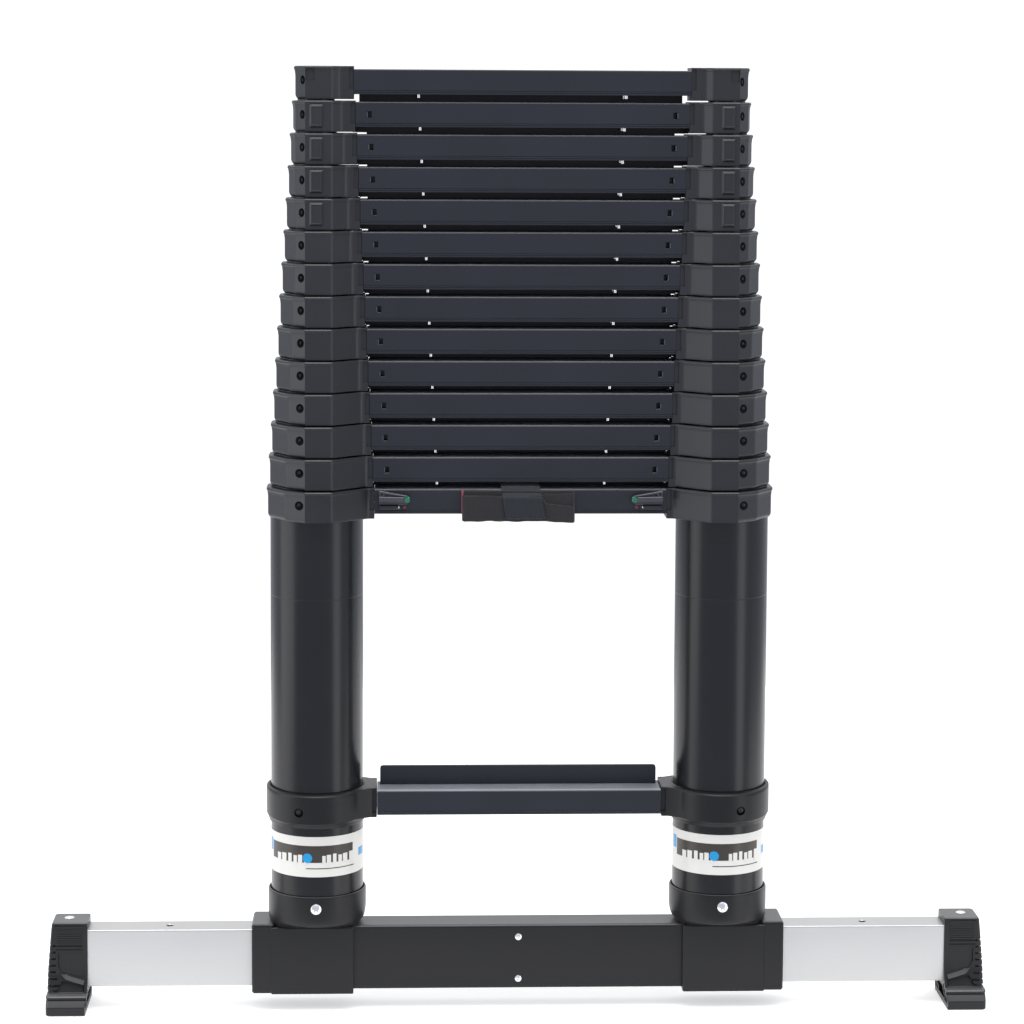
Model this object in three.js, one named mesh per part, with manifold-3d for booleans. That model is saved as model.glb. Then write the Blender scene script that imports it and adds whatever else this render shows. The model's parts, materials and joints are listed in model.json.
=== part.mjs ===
// A telescopic extension ladder, shown fully collapsed and standing on its stabiliser bar.
//
// Fourteen sections nest in each other. Each section is a left and a right stile (a round tube with
// a moulded collar on its top end) and a rung between the two collars. Section 1 is the lowest and
// widest: its tubes stand in two base sockets, and a bottom rung is clamped round them. The sockets
// hold a black rectangular sleeve, and two silver arms with rubber-soled feet slide out of it.
//
// Millimetres, +Z up, +X to the right, the front faces -Y. The origin is on the floor, under the
// middle of the ladder.

import * as THREE from "three";
import { mergeVertices } from "three/addons/utils/BufferGeometryUtils.js";
import { ConvexGeometry } from "three/addons/geometries/ConvexGeometry.js";
import Module from "manifold-3d";

const wasm = await Module();
wasm.setup();

// Driving dimensions

const STAGES = 14;
const STILE_X = 202; // from the middle of the ladder to a stile's axis
const FIRST_TUBE_R = 46; // outer radius of section 1's tubes
const TUBE_STEP_R = 2.13; // each section's tubes are this much smaller in radius than the one below
const TUBE_WALL = 1.3;
const TUBE_LENGTH = 384; // of every section from the second up
const FIRST_TUBE_LOW_Z = 92.7;

const STACK_PITCH = 31.7; // from one collar to the next, collapsed
const FIRST_COLLAR_TOP_Z = 528;
const COLLAR_HEIGHT = 30.4;
const COLLAR_SIDE = 3.3; // how far a collar stands out beside its tube, away from the rungs
const COLLAR_FRONT = 11; // and how far it stands out in front of it and behind it
const COLLAR_EDGE = 10.4; // the upright edge, measured outward from the tube's axis
const COLLAR_SLOPE_START = 16; // where the flat front ends, measured toward the rungs
const FACET_SLOPE = 0.75; // depth lost per millimetre outward, on the facet beyond that edge
const FACET_SHARE = 0.64; // where the facet ends, as a share of the collar's outer side
const FACET_MIN_X = 21;
const SIDE_SHARE = 0.3; // half the depth of the flat outer side, as a share of the tube's radius
const COLLAR_NECK = 6; // from the tube to where the sloping front meets the boss
const LIP = 6; // the collar's bearing lip above the end of its own tube
const SLIDE_GAP = 0.35; // round a tube that slides in a lip
const CAP_RISE = 1.8; // the top collar is closed, and a little taller

const RUNG_DEPTH = 46;
const RUNG_HEIGHT = 24.4;
const RUNG_DROP = 1.2; // from a collar's top to its rung's top
const RUNG_WALL = 1.6;
const RUNG_CHAMFER = 2.6;
const FLANGE_HEIGHT = 6.8; // the rear flange that closes the gap to the rung below
const FLANGE_THICK = 3;
const FLANGE_SETBACK = 9; // from the end of the rung
const FIRST_BOSS_END = 57; // from the tube's axis to the end of the collar, at section 1
const BOSS_STEP = 1.56; // it gets shorter by this much for each section
const JOINT_GAP = 0.3;

const BOTTOM_RUNG_TOP_Z = 223.6;
const BOTTOM_COLLAR = { radius: 50.5, low: 191, high: 227.4, chamfer: 3.5, bossEnd: 60, bossRise: 3.3 };
const KICK_PLATE = { halfWidth: 139, front: 6, thick: 3, height: 19.2, corner: 5 };
const KICK_PLATE_FOOT = { depth: 10, thick: 2 };

const SLEEVE = { halfLength: 265, halfDepth: 18.5, low: 20, high: 85.6, wall: 1.7, chamfer: 3 };
const SOCKET = { inner: 36.6, outer: 64.8, halfDepth: 26, low: 17.3, high: 89.4, chamfer: 2.5 };
const SOCKET_RING = { radius: 49, low: 94.4, high: 122.4, blendLow: 78.4, blendOuter: 44.8 };
const SOCKET_SCREW = { z: 110.9, headR: 5.5, headHeight: 2.6, shankR: 2.2, shankLength: 6.4 };

const ARM = { inner: 165, outer: 460, halfDepth: 16.5, low: 23.7, high: 81.7, wall: 2, chamfer: 2 };
const ARM_HOLE = { x: 350, radius: 3.6 };
const FOOT = { inner: 431, outer: 466.5, halfDepth: 18.2, high: 89.8, shoulder: 36 };
const FOOT_FLARE = { outer: 4.5, depth: 1.3, low: 22 }; // how far the foot has widened at its low end
const SOLE = { inner: 432, outer: 471.5, halfDepth: 37.5, thick: 5, edge: 0.6 };
const SOLE_POCKET = { outer: 462, halfDepth: 15, low: 5.5, high: 18 };

const PIN = { radius: 4, inner: 100, clearance: 0.3 };
const LEVER = { inner: 111, outer: 140.5, thick: 9, rise: 9.5, drop: 5, tip: 2.2, tipLength: 2.5 };
const LEVER_TAB = { inner: 118, outer: 124, halfHeight: 3.2, travel: 10 };
const STRAP = { left: -19, right: 28, band: 2, gap: 0.4, drop: 5.4, room: 6 };
const STRAP_BUNDLE = { left: -57.5, right: 57, thick: 10, drop: 4.5, below: 5 };

const ROUND_SIDES = 20; // of every tube and bore, so that nested ones keep an even gap
const SMALL_SIDES = 12;
const CORNER_STEPS = 4;
const OVERLAP = 1; // how far a cutter runs past the face that it opens

// Colours and finishes

const material = (color, roughness, metalness) =>
  new THREE.MeshStandardMaterial({ color, roughness, metalness });

const MATERIALS = {
  stile: material(0x3b3f46, 0.32, 0.85),
  rung: material(0x30343c, 0.42, 0.8),
  collar: material(0x4a4c50, 0.5, 0.05),
  base: material(0x333336, 0.48, 0.05),
  sleeve: material(0x2f2f33, 0.4, 0.4),
  silver: material(0xd2d3d5, 0.34, 0.95),
  steel: material(0xdadadc, 0.25, 1),
  lever: material(0x3c3f45, 0.5, 0.05),
  strap: material(0x26262a, 0.9, 0),
};

// From three.js geometries to solids and back

function solid(geometry) {
  const bare = geometry.clone();
  bare.deleteAttribute("normal");
  bare.deleteAttribute("uv");
  const merged = mergeVertices(bare, 1e-4);
  return new wasm.Manifold(
    new wasm.Mesh({
      numProp: 3,
      vertProperties: new Float32Array(merged.attributes.position.array),
      triVerts: new Uint32Array(merged.index.array),
    }),
  );
}

function geometryOf(body) {
  const mesh = body.getMesh();
  const geometry = new THREE.BufferGeometry();
  geometry.setAttribute("position", new THREE.BufferAttribute(mesh.vertProperties, 3));
  geometry.setIndex(new THREE.BufferAttribute(mesh.triVerts, 1));
  geometry.computeVertexNormals();
  return geometry;
}

const join = (first, ...others) => others.reduce((whole, other) => whole.add(other), first);
const cut = (first, ...others) => others.reduce((whole, other) => whole.subtract(other), first);

// Simple solids

const extrude = (points, length) =>
  new THREE.ExtrudeGeometry(new THREE.Shape(points.map(([a, b]) => new THREE.Vector2(a, b))), {
    depth: length,
    bevelEnabled: false,
  });

// points are (x, y) pairs
const prismZ = (points, low, high) => solid(extrude(points, high - low).translate(0, 0, low));

// points are (y, z) pairs
function prismX(points, low, high) {
  const turn = new THREE.Matrix4().set(0, 0, 1, 0, 1, 0, 0, 0, 0, 1, 0, 0, 0, 0, 0, 1);
  return solid(extrude(points, high - low).applyMatrix4(turn).translate(low, 0, 0));
}

// points are (x, z) pairs
const prismY = (points, low, high) =>
  solid(extrude(points, high - low).rotateX(Math.PI / 2).translate(0, high, 0));

const rectangle = (low, high) => [
  [low[0], low[1]],
  [high[0], low[1]],
  [high[0], high[1]],
  [low[0], high[1]],
];

const chamfered = ([x0, y0], [x1, y1], c) => [
  [x0 + c, y0],
  [x1 - c, y0],
  [x1, y0 + c],
  [x1, y1 - c],
  [x1 - c, y1],
  [x0 + c, y1],
  [x0, y1 - c],
  [x0, y0 + c],
];

function box(low, high) {
  const size = high.map((value, axis) => value - low[axis]);
  const middle = high.map((value, axis) => (value + low[axis]) / 2);
  return solid(new THREE.BoxGeometry(...size).translate(...middle));
}

function coneZ(x, lowRadius, highRadius, low, high, sides = ROUND_SIDES) {
  const height = high - low;
  const geometry = new THREE.CylinderGeometry(highRadius, lowRadius, height, sides);
  return solid(geometry.rotateX(Math.PI / 2).translate(x, 0, (low + high) / 2));
}

const rodZ = (x, radius, low, high, sides) => coneZ(x, radius, radius, low, high, sides);

const rodX = (radius, low, high, z) =>
  solid(
    new THREE.CylinderGeometry(radius, radius, high - low, SMALL_SIDES)
      .rotateZ(Math.PI / 2)
      .translate((low + high) / 2, 0, z),
  );

const rodY = (radius, x, z, low, high) =>
  solid(
    new THREE.CylinderGeometry(radius, radius, high - low, SMALL_SIDES).translate(
      x,
      (low + high) / 2,
      z,
    ),
  );

const hull = (corners) => solid(new ConvexGeometry(corners.map((c) => new THREE.Vector3(...c))));

// the two ends of a span, in rising order, on the left (-1) or the right (+1) of the ladder
const span = (side, inner, outer) => (side < 0 ? [-outer, -inner] : [inner, outer]);

// Sizes that depend on the section

const tubeRadius = (stage) => FIRST_TUBE_R - TUBE_STEP_R * (stage - 1);
const collarTop = (stage) => FIRST_COLLAR_TOP_Z + STACK_PITCH * (stage - 1);
const rungTop = (stage) => collarTop(stage) - RUNG_DROP;
const bossEnd = (stage) => FIRST_BOSS_END - BOSS_STEP * (stage - 1) + JOINT_GAP;

// A collar seen from above. Half of the outline is listed, from the outer side to the rung.
function collarOutline(stage, side) {
  const radius = tubeRadius(stage);
  const outer = radius + COLLAR_SIDE;
  const front = radius + COLLAR_FRONT;
  const facetX = Math.max(FACET_MIN_X, FACET_SHARE * outer);
  const half = [
    [outer, SIDE_SHARE * radius],
    [facetX, front - FACET_SLOPE * (facetX - COLLAR_EDGE)],
    [COLLAR_EDGE, front],
    [-COLLAR_SLOPE_START, front],
    [-(radius + COLLAR_NECK), RUNG_DEPTH / 2],
    [-bossEnd(stage), RUNG_DEPTH / 2],
  ];
  const back = half.map(([out, depth]) => [out, -depth]).reverse();
  return [...half, ...back].map(([out, depth]) => [side * (STILE_X + out), depth]);
}

// A tube with its collar. The bore steps down to the next tube's size inside the collar's lip.
function stile(stage, side) {
  const x = side * STILE_X;
  const radius = tubeRadius(stage);
  const last = stage === STAGES;
  const top = collarTop(stage);
  const tubeTop = top - LIP;
  const tubeLow = stage === 1 ? FIRST_TUBE_LOW_Z : top - TUBE_LENGTH;
  const collarHigh = last ? top + CAP_RISE : top;
  let body = join(
    prismZ(collarOutline(stage, side), top - COLLAR_HEIGHT, collarHigh),
    rodZ(x, radius, tubeLow, tubeTop - OVERLAP),
  );
  body = cut(body, rodZ(x, radius - TUBE_WALL, tubeLow - OVERLAP, tubeTop));
  if (!last) {
    const lipRadius = tubeRadius(stage + 1) + SLIDE_GAP;
    body = cut(body, rodZ(x, lipRadius, tubeTop - OVERLAP, top + OVERLAP));
  }
  if (stage === 1) {
    body = cut(body, pinBore(side), socketScrewBore(side));
  }
  return body;
}

// A hollow rung, seen from the end as (y, z) pairs
const rungOutline = (low, inset) => {
  const half = RUNG_DEPTH / 2 - inset;
  const top = low + RUNG_HEIGHT - inset;
  const chamfer = RUNG_CHAMFER - inset / 2;
  return [
    [-half, low + inset],
    [half, low + inset],
    [half, top - chamfer],
    [half - chamfer, top],
    [-half + chamfer, top],
    [-half, top - chamfer],
  ];
};

function rungTube(halfLength, top) {
  const low = top - RUNG_HEIGHT;
  return cut(
    prismX(rungOutline(low, 0), -halfLength, halfLength),
    prismX(rungOutline(low, RUNG_WALL), -halfLength - OVERLAP, halfLength + OVERLAP),
  );
}

function rung(stage) {
  const halfLength = STILE_X - bossEnd(stage) - JOINT_GAP;
  const top = rungTop(stage);
  const low = top - RUNG_HEIGHT;
  let body = rungTube(halfLength, top);
  if (stage === 1) {
    return cut(body, leverSlot(-1), leverSlot(1));
  }
  // section 2's flange leaves room in the middle for the strap round the rung below it
  const flangeEnd = halfLength - FLANGE_SETBACK;
  const runs =
    stage === 2
      ? [
          [-flangeEnd, STRAP.left - STRAP.room],
          [STRAP.right + STRAP.room, flangeEnd],
        ]
      : [[-flangeEnd, flangeEnd]];
  const back = RUNG_DEPTH / 2;
  for (const [from, to] of runs) {
    body = join(body, box([from, back - FLANGE_THICK, low - FLANGE_HEIGHT], [to, back, low + 1]));
  }
  return body;
}

// The lock of section 1: a thumb lever on the front of its rung moves a pin inside it

const lockZ = rungTop(1) - RUNG_HEIGHT / 2;

function pinBore(side) {
  const [low, high] = span(side, STILE_X - bossEnd(1) - OVERLAP, STILE_X - tubeRadius(2));
  return rodX(PIN.radius + JOINT_GAP, low, high, lockZ);
}

function lockPin(side) {
  const tip = STILE_X - tubeRadius(2) - PIN.clearance;
  const [low, high] = span(side, PIN.inner, tip);
  return rodX(PIN.radius, low, high, lockZ);
}

function leverSlot(side) {
  const inner = LEVER_TAB.inner - LEVER_TAB.travel - OVERLAP;
  const [low, high] = span(side, inner, LEVER_TAB.outer + OVERLAP);
  const halfHeight = LEVER_TAB.halfHeight + JOINT_GAP;
  const front = -RUNG_DEPTH / 2;
  return box(
    [low, front - OVERLAP, lockZ - halfHeight],
    [high, front + RUNG_WALL + OVERLAP, lockZ + halfHeight],
  );
}

function releaseLever(side) {
  const front = -RUNG_DEPTH / 2 - JOINT_GAP;
  const { inner, outer, thick, rise, drop, tip, tipLength } = LEVER;
  // high at the end near the collar, it runs down to a blunt tip
  const outline = [
    [outer, lockZ + rise],
    [outer, lockZ - drop],
    [inner + tipLength, lockZ - 2 * tip],
    [inner, lockZ - tip],
    [inner, lockZ + tip],
    [inner + tipLength, lockZ + 2 * tip],
  ].map(([out, z]) => [side * out, z]);
  const [tabLow, tabHigh] = span(side, LEVER_TAB.inner, LEVER_TAB.outer);
  return join(
    prismY(outline, front - thick, front),
    box(
      [tabLow, front - OVERLAP, lockZ - LEVER_TAB.halfHeight],
      [tabHigh, -PIN.radius - JOINT_GAP, lockZ + LEVER_TAB.halfHeight],
    ),
  );
}

// The hook-and-loop strap: a folded bundle on the front of rung 1, and a band round both
function strap() {
  const { left, right, band, gap, drop } = STRAP;
  const rungLow = rungTop(1) - RUNG_HEIGHT;
  const inner = RUNG_DEPTH / 2 + gap;
  const front = -inner - STRAP_BUNDLE.thick;
  const ring = box(
    [left, front - band, rungLow - drop],
    [right, inner + band, rungTop(1) + gap + band],
  );
  const bundle = box(
    [STRAP_BUNDLE.left, front, rungLow - STRAP_BUNDLE.drop],
    [STRAP_BUNDLE.right, -inner, rungTop(1) - STRAP_BUNDLE.below],
  );
  const rungRoom = box(
    [left - OVERLAP, -inner, rungLow - gap],
    [right + OVERLAP, inner, rungTop(1) + gap],
  );
  return cut(join(ring, bundle), rungRoom);
}

// The bottom rung, clamped round section 1's tubes

function bottomCollar(side) {
  const { radius, low, high, chamfer, bossEnd: end, bossRise } = BOTTOM_COLLAR;
  const x = side * STILE_X;
  const [bossLow, bossHigh] = span(side, STILE_X - end, STILE_X - tubeRadius(1) - OVERLAP);
  const half = RUNG_DEPTH / 2;
  const rungLow = BOTTOM_RUNG_TOP_Z - RUNG_HEIGHT;
  return cut(
    join(
      rodZ(x, radius, low + chamfer, high),
      coneZ(x, radius - chamfer, radius, low, low + chamfer),
      box([bossLow, -half, rungLow - bossRise], [bossHigh, half, BOTTOM_RUNG_TOP_Z + bossRise]),
    ),
    rodZ(x, tubeRadius(1) + JOINT_GAP, low - OVERLAP, high + OVERLAP),
  );
}

const bottomRung = () =>
  rungTube(STILE_X - BOTTOM_COLLAR.bossEnd - JOINT_GAP, BOTTOM_RUNG_TOP_Z);

// an upright plate on the bottom rung, with a flat foot behind it
function kickPlate() {
  const { halfWidth, front, thick, height, corner } = KICK_PLATE;
  const low = BOTTOM_RUNG_TOP_Z + JOINT_GAP;
  const top = low + height;
  const corners = [];
  for (const side of [1, -1]) {
    for (let step = 0; step <= CORNER_STEPS; step++) {
      const share = side > 0 ? step / CORNER_STEPS : 1 - step / CORNER_STEPS;
      const turn = share * (Math.PI / 2);
      corners.push([
        side * (halfWidth - corner + corner * Math.cos(turn)),
        top - corner + corner * Math.sin(turn),
      ]);
    }
  }
  const plate = prismY([...corners, [-halfWidth, low], [halfWidth, low]], front, front + thick);
  const rear = front + KICK_PLATE_FOOT.depth;
  const plateFoot = box([-halfWidth, front, low], [halfWidth, rear, low + KICK_PLATE_FOOT.thick]);
  return join(plate, plateFoot);
}

// The stabiliser: sockets, sleeve, arms and feet

function socketScrewBore(side) {
  const reach = SOCKET_RING.radius + OVERLAP;
  const radius = SOCKET_SCREW.shankR + JOINT_GAP;
  const inner = FIRST_TUBE_R - TUBE_WALL - OVERLAP;
  return rodY(radius, side * STILE_X, SOCKET_SCREW.z, -reach, -inner);
}

function baseSocket(side) {
  const x = side * STILE_X;
  const { inner, outer, halfDepth, low, high, chamfer } = SOCKET;
  const [boxLow, boxHigh] = span(side, STILE_X - inner, STILE_X + outer);
  const [footLow, footHigh] = span(side, STILE_X - inner, STILE_X + SOCKET_RING.blendOuter);
  const ringFoot = [];
  for (let i = 0; i < ROUND_SIDES; i++) {
    const turn = (i / ROUND_SIDES) * 2 * Math.PI;
    ringFoot.push([
      x + SOCKET_RING.radius * Math.cos(turn),
      SOCKET_RING.radius * Math.sin(turn),
      SOCKET_RING.low,
    ]);
  }
  const blendFoot = [footLow, footHigh].flatMap((footX) => [
    [footX, -halfDepth, SOCKET_RING.blendLow],
    [footX, halfDepth, SOCKET_RING.blendLow],
  ]);
  const body = join(
    prismX(chamfered([-halfDepth, low], [halfDepth, high], chamfer), boxLow, boxHigh),
    hull([...ringFoot, ...blendFoot]),
    rodZ(x, SOCKET_RING.radius, SOCKET_RING.low - JOINT_GAP, SOCKET_RING.high),
  );
  const channel = prismX(
    chamfered(
      [-SLEEVE.halfDepth - JOINT_GAP, SLEEVE.low - JOINT_GAP],
      [SLEEVE.halfDepth + JOINT_GAP, SLEEVE.high + JOINT_GAP],
      SLEEVE.chamfer,
    ),
    boxLow - SOCKET_RING.radius,
    boxHigh + SOCKET_RING.radius,
  );
  const tubeLow = FIRST_TUBE_LOW_Z - JOINT_GAP;
  const bore = rodZ(x, FIRST_TUBE_R + JOINT_GAP, tubeLow, SOCKET_RING.high + OVERLAP);
  return cut(body, channel, bore, socketScrewBore(side));
}

function socketScrew(side) {
  const { headR, headHeight, shankR, shankLength, z } = SOCKET_SCREW;
  const seat = -SOCKET_RING.radius - JOINT_GAP;
  // the head is a low dome: its rim is a fifth of its height
  const dome = [0, 0.25, 0.5, 0.75, 1].map((share) => {
    const turn = (share * Math.PI) / 2;
    return [headR * Math.cos(turn), headHeight * (0.2 + 0.8 * Math.sin(turn))];
  });
  const profile = [
    [0, -shankLength],
    [shankR, -shankLength],
    [shankR, 0],
    [headR, 0],
    ...dome.slice(0, -1),
    [0, headHeight],
  ].map(([radius, along]) => new THREE.Vector2(radius, along));
  const screw = new THREE.LatheGeometry(profile, SMALL_SIDES);
  // the lathe turns round Y, with its head at +Y: turned about, so that the head faces the front
  return solid(screw.rotateX(Math.PI).translate(side * STILE_X, seat, z));
}

function stabiliserSleeve() {
  const { halfLength, halfDepth, low, high, wall, chamfer } = SLEEVE;
  return cut(
    prismX(chamfered([-halfDepth, low], [halfDepth, high], chamfer), -halfLength, halfLength),
    prismX(
      chamfered([-halfDepth + wall, low + wall], [halfDepth - wall, high - wall], chamfer - wall),
      -halfLength - OVERLAP,
      halfLength + OVERLAP,
    ),
  );
}

function stabiliserArm(side) {
  const { inner, outer, halfDepth, low, high, wall, chamfer } = ARM;
  const [from, to] = span(side, inner, outer);
  return cut(
    prismX(chamfered([-halfDepth, low], [halfDepth, high], chamfer), from, to),
    prismX(
      rectangle([-halfDepth + wall, low + wall], [halfDepth - wall, high - wall]),
      from - OVERLAP,
      to + OVERLAP,
    ),
    rodZ(side * ARM_HOLE.x, ARM_HOLE.radius, high - wall - OVERLAP, high + OVERLAP, SMALL_SIDES),
  );
}

// eight corners of a block whose section changes from its low end to its high end
function taper(side, low, high) {
  return hull(
    [low, high].flatMap(({ inner, outer, halfDepth, z }) =>
      [inner, outer].flatMap((x) => [
        [side * x, -halfDepth, z],
        [side * x, halfDepth, z],
      ]),
    ),
  );
}

function foot(side) {
  const { inner, outer, halfDepth, high, shoulder } = FOOT;
  const flaredOuter = outer + FOOT_FLARE.outer;
  const flaredDepth = halfDepth + FOOT_FLARE.depth;
  const cap = taper(
    side,
    { inner, outer: flaredOuter, halfDepth: flaredDepth, z: FOOT_FLARE.low },
    { inner, outer, halfDepth, z: high },
  );
  const skirtInner = SOLE.inner + SOLE.edge;
  const skirtOuter = SOLE.outer - SOLE.edge;
  const skirt = taper(
    side,
    { inner: skirtInner, outer: skirtOuter, halfDepth: SOLE.halfDepth, z: SOLE.thick },
    { inner: inner - SOLE.edge, outer: flaredOuter - SOLE.edge, halfDepth: flaredDepth, z: shoulder },
  );
  const [soleLow, soleHigh] = span(side, SOLE.inner, SOLE.outer);
  const sole = box(
    [soleLow, -SOLE.halfDepth, 0],
    [soleHigh, SOLE.halfDepth, SOLE.thick + JOINT_GAP],
  );
  // both pockets are open toward the ladder
  const open = inner - 2 * OVERLAP;
  const [pocketLow, pocketHigh] = span(side, open, SOLE_POCKET.outer);
  const pocket = box(
    [pocketLow, -SOLE_POCKET.halfDepth, SOLE_POCKET.low],
    [pocketHigh, SOLE_POCKET.halfDepth, SOLE_POCKET.high],
  );
  const [armLow, armHigh] = span(side, open, ARM.outer + JOINT_GAP);
  const armPocket = box(
    [armLow, -ARM.halfDepth - JOINT_GAP, ARM.low - JOINT_GAP],
    [armHigh, ARM.halfDepth + JOINT_GAP, ARM.high + JOINT_GAP],
  );
  return cut(join(cap, skirt, sole), pocket, armPocket);
}

// The assembly

const ladder = new THREE.Group();
const sideName = (side) => (side < 0 ? "left" : "right");

function add(parent, name, body, finish) {
  const mesh = new THREE.Mesh(geometryOf(body), finish);
  mesh.name = name;
  parent.add(mesh);
}

for (let stage = 1; stage <= STAGES; stage++) {
  const section = new THREE.Group();
  const name = `stage_${String(stage).padStart(2, "0")}`;
  for (const side of [-1, 1]) {
    add(section, `${name}_stile_${sideName(side)}`, stile(stage, side), MATERIALS.stile);
  }
  add(section, `${name}_rung`, rung(stage), MATERIALS.rung);
  ladder.add(section);
}

const base = new THREE.Group();
add(base, "bottom_rung", bottomRung(), MATERIALS.rung);
add(base, "kick_plate", kickPlate(), MATERIALS.rung);
add(base, "strap", strap(), MATERIALS.strap);
add(base, "stabiliser_sleeve", stabiliserSleeve(), MATERIALS.sleeve);
for (const side of [-1, 1]) {
  add(base, `bottom_collar_${sideName(side)}`, bottomCollar(side), MATERIALS.collar);
  add(base, `base_socket_${sideName(side)}`, baseSocket(side), MATERIALS.base);
  add(base, `socket_screw_${sideName(side)}`, socketScrew(side), MATERIALS.steel);
}
ladder.add(base);

for (const side of [-1, 1]) {
  const latch = new THREE.Group();
  add(latch, `release_lever_${sideName(side)}`, releaseLever(side), MATERIALS.lever);
  add(latch, `lock_pin_${sideName(side)}`, lockPin(side), MATERIALS.steel);
  ladder.add(latch);

  const outrigger = new THREE.Group();
  add(outrigger, `stabiliser_arm_${sideName(side)}`, stabiliserArm(side), MATERIALS.silver);
  add(outrigger, `foot_${sideName(side)}`, foot(side), MATERIALS.base);
  ladder.add(outrigger);
}

export default ladder;
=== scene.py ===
# The looks of a telescopic ladder, standing collapsed on its stabiliser bar.
#
# Shapes are worked out in millimetres as (points, faces) and become metres when a piece is made.
# Each stile is described by u, measured outboard from its axis, and v, measured toward the front.
# Pieces that the ladder has twice are built on its left and mirrored to its right.

import json
import math

import bmesh
import bpy
from mathutils import Matrix, Vector

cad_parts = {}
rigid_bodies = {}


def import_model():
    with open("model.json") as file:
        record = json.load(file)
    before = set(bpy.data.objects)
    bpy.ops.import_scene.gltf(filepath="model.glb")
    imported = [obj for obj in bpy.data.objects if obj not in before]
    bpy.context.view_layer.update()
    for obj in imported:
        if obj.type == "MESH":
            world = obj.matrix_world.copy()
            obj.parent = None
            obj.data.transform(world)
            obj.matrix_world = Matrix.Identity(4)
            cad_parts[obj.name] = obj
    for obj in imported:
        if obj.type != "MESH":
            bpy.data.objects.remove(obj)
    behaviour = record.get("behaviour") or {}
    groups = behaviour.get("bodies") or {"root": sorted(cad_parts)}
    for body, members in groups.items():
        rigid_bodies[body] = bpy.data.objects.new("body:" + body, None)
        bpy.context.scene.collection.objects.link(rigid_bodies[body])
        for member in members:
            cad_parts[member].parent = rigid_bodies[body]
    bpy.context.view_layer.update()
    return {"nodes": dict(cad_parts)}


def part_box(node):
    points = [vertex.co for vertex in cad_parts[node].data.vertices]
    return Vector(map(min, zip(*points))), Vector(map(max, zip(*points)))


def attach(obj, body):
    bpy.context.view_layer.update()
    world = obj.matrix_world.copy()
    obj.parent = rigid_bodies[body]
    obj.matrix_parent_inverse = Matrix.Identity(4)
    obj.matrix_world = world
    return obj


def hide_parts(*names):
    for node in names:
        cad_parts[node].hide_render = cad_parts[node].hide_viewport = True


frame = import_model()

MM = 0.001
SHARP = math.radians(33)


# The camera

CAMERA_PLACE = (-0.1249, -2.9248, 0.9154)
CAMERA_YAW = math.radians(2.281)
CAMERA_PITCH = math.radians(5.684)
CAMERA_ROLL = math.radians(0.288)
FOCAL_LENGTH = 104.2
VIEW_SHIFT = -0.12


def add_camera():
    data = bpy.data.cameras.new("camera")
    data.lens = FOCAL_LENGTH
    data.sensor_width = 36
    data.shift_y = VIEW_SHIFT
    camera = bpy.data.objects.new("camera", data)
    bpy.context.scene.collection.objects.link(camera)
    bpy.context.scene.camera = camera
    yaw = Matrix.Rotation(-CAMERA_YAW, 4, "Z")
    tilt = Matrix.Rotation(math.pi / 2 - CAMERA_PITCH, 4, "X")
    roll = Matrix.Rotation(CAMERA_ROLL, 4, "Z")
    camera.rotation_euler = (yaw @ tilt @ roll).to_euler()
    camera.location = CAMERA_PLACE


add_camera()


# Sizes, read from the CAD nodes where they can be


def node_box(node):
    low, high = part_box(node)
    return low / MM, high / MM


STAGES = 14  # sections of tube, the widest and lowest first
SIDES = {"left": -1, "right": 1}
SCREW_LOW, SCREW_HIGH = node_box("socket_screw_left")
STILE_X = -(SCREW_LOW.x + SCREW_HIGH.x) / 2
COLLAR_SIDE = 3.3
COLLAR_FRONT = 11
COLLAR_HEIGHT = 30.4
CAP_RISE = 1.8  # the top collars are closed, and a little taller
COLLAR_EDGE = 10.4  # the upright edge between a collar's front and its facet
COLLAR_SLOPE_START = 16  # toward the rungs, where the flat front ends
COLLAR_NECK = 6
FACET_SLOPE = 0.75
STEEPER_FACET = 0.09  # for each section above the sixth
FACET_SHARE = 0.64
FACET_MIN_X = 21
SIDE_SHARE = 0.3
LIP = 6
SLIDE_GAP = 0.35
TUBE_WALL = 1.3
RUNG_HEIGHT = 24.4
RUNG_HALF_DEPTH = 23
PAD_STAGES = (10, 11, 12, 13)


def stage_name(stage):
    return f"stage_{stage:02d}"


def stage_body(stage):
    return "base" if stage == 1 else stage_name(stage)


def tube_radius(stage):
    low, _ = node_box(stage_name(stage) + "_stile_left")
    return -low.x - STILE_X - COLLAR_SIDE


def collar_top(stage):
    _, high = node_box(stage_name(stage) + "_stile_left")
    return high.z


def rung_box(stage):
    return node_box(stage_name(stage) + "_rung")


def boss_end(stage):
    return STILE_X - rung_box(stage)[1].x - 0.3


# Shapes: a shape is (points, faces)


def loft(rings, closed=False):
    """A shape through rings of points, all of one count. It is capped, or when closed ends where it began."""
    count = len(rings[0])
    rows = len(rings)
    points = [p for ring in rings for p in ring]
    faces = []
    for row in range(rows if closed else rows - 1):
        above = (row + 1) % rows
        for i in range(count):
            j = (i + 1) % count
            faces.append((row * count + i, row * count + j, above * count + j, above * count + i))
    if not closed:
        faces.append(tuple(reversed(range(count))))
        faces.append(tuple(range(len(points) - count, len(points))))
    return points, faces


def merged(*shapes):
    points, faces = [], []
    for more_points, more_faces in shapes:
        start = len(points)
        points += more_points
        faces += [tuple(start + i for i in face) for face in more_faces]
    return points, faces


def mirrored(shape):
    points, faces = shape
    return [(-x, y, z) for x, y, z in points], [tuple(reversed(face)) for face in faces]


def moved(shape, by):
    points, faces = shape
    return [(x + by[0], y + by[1], z + by[2]) for x, y, z in points], faces


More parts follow.
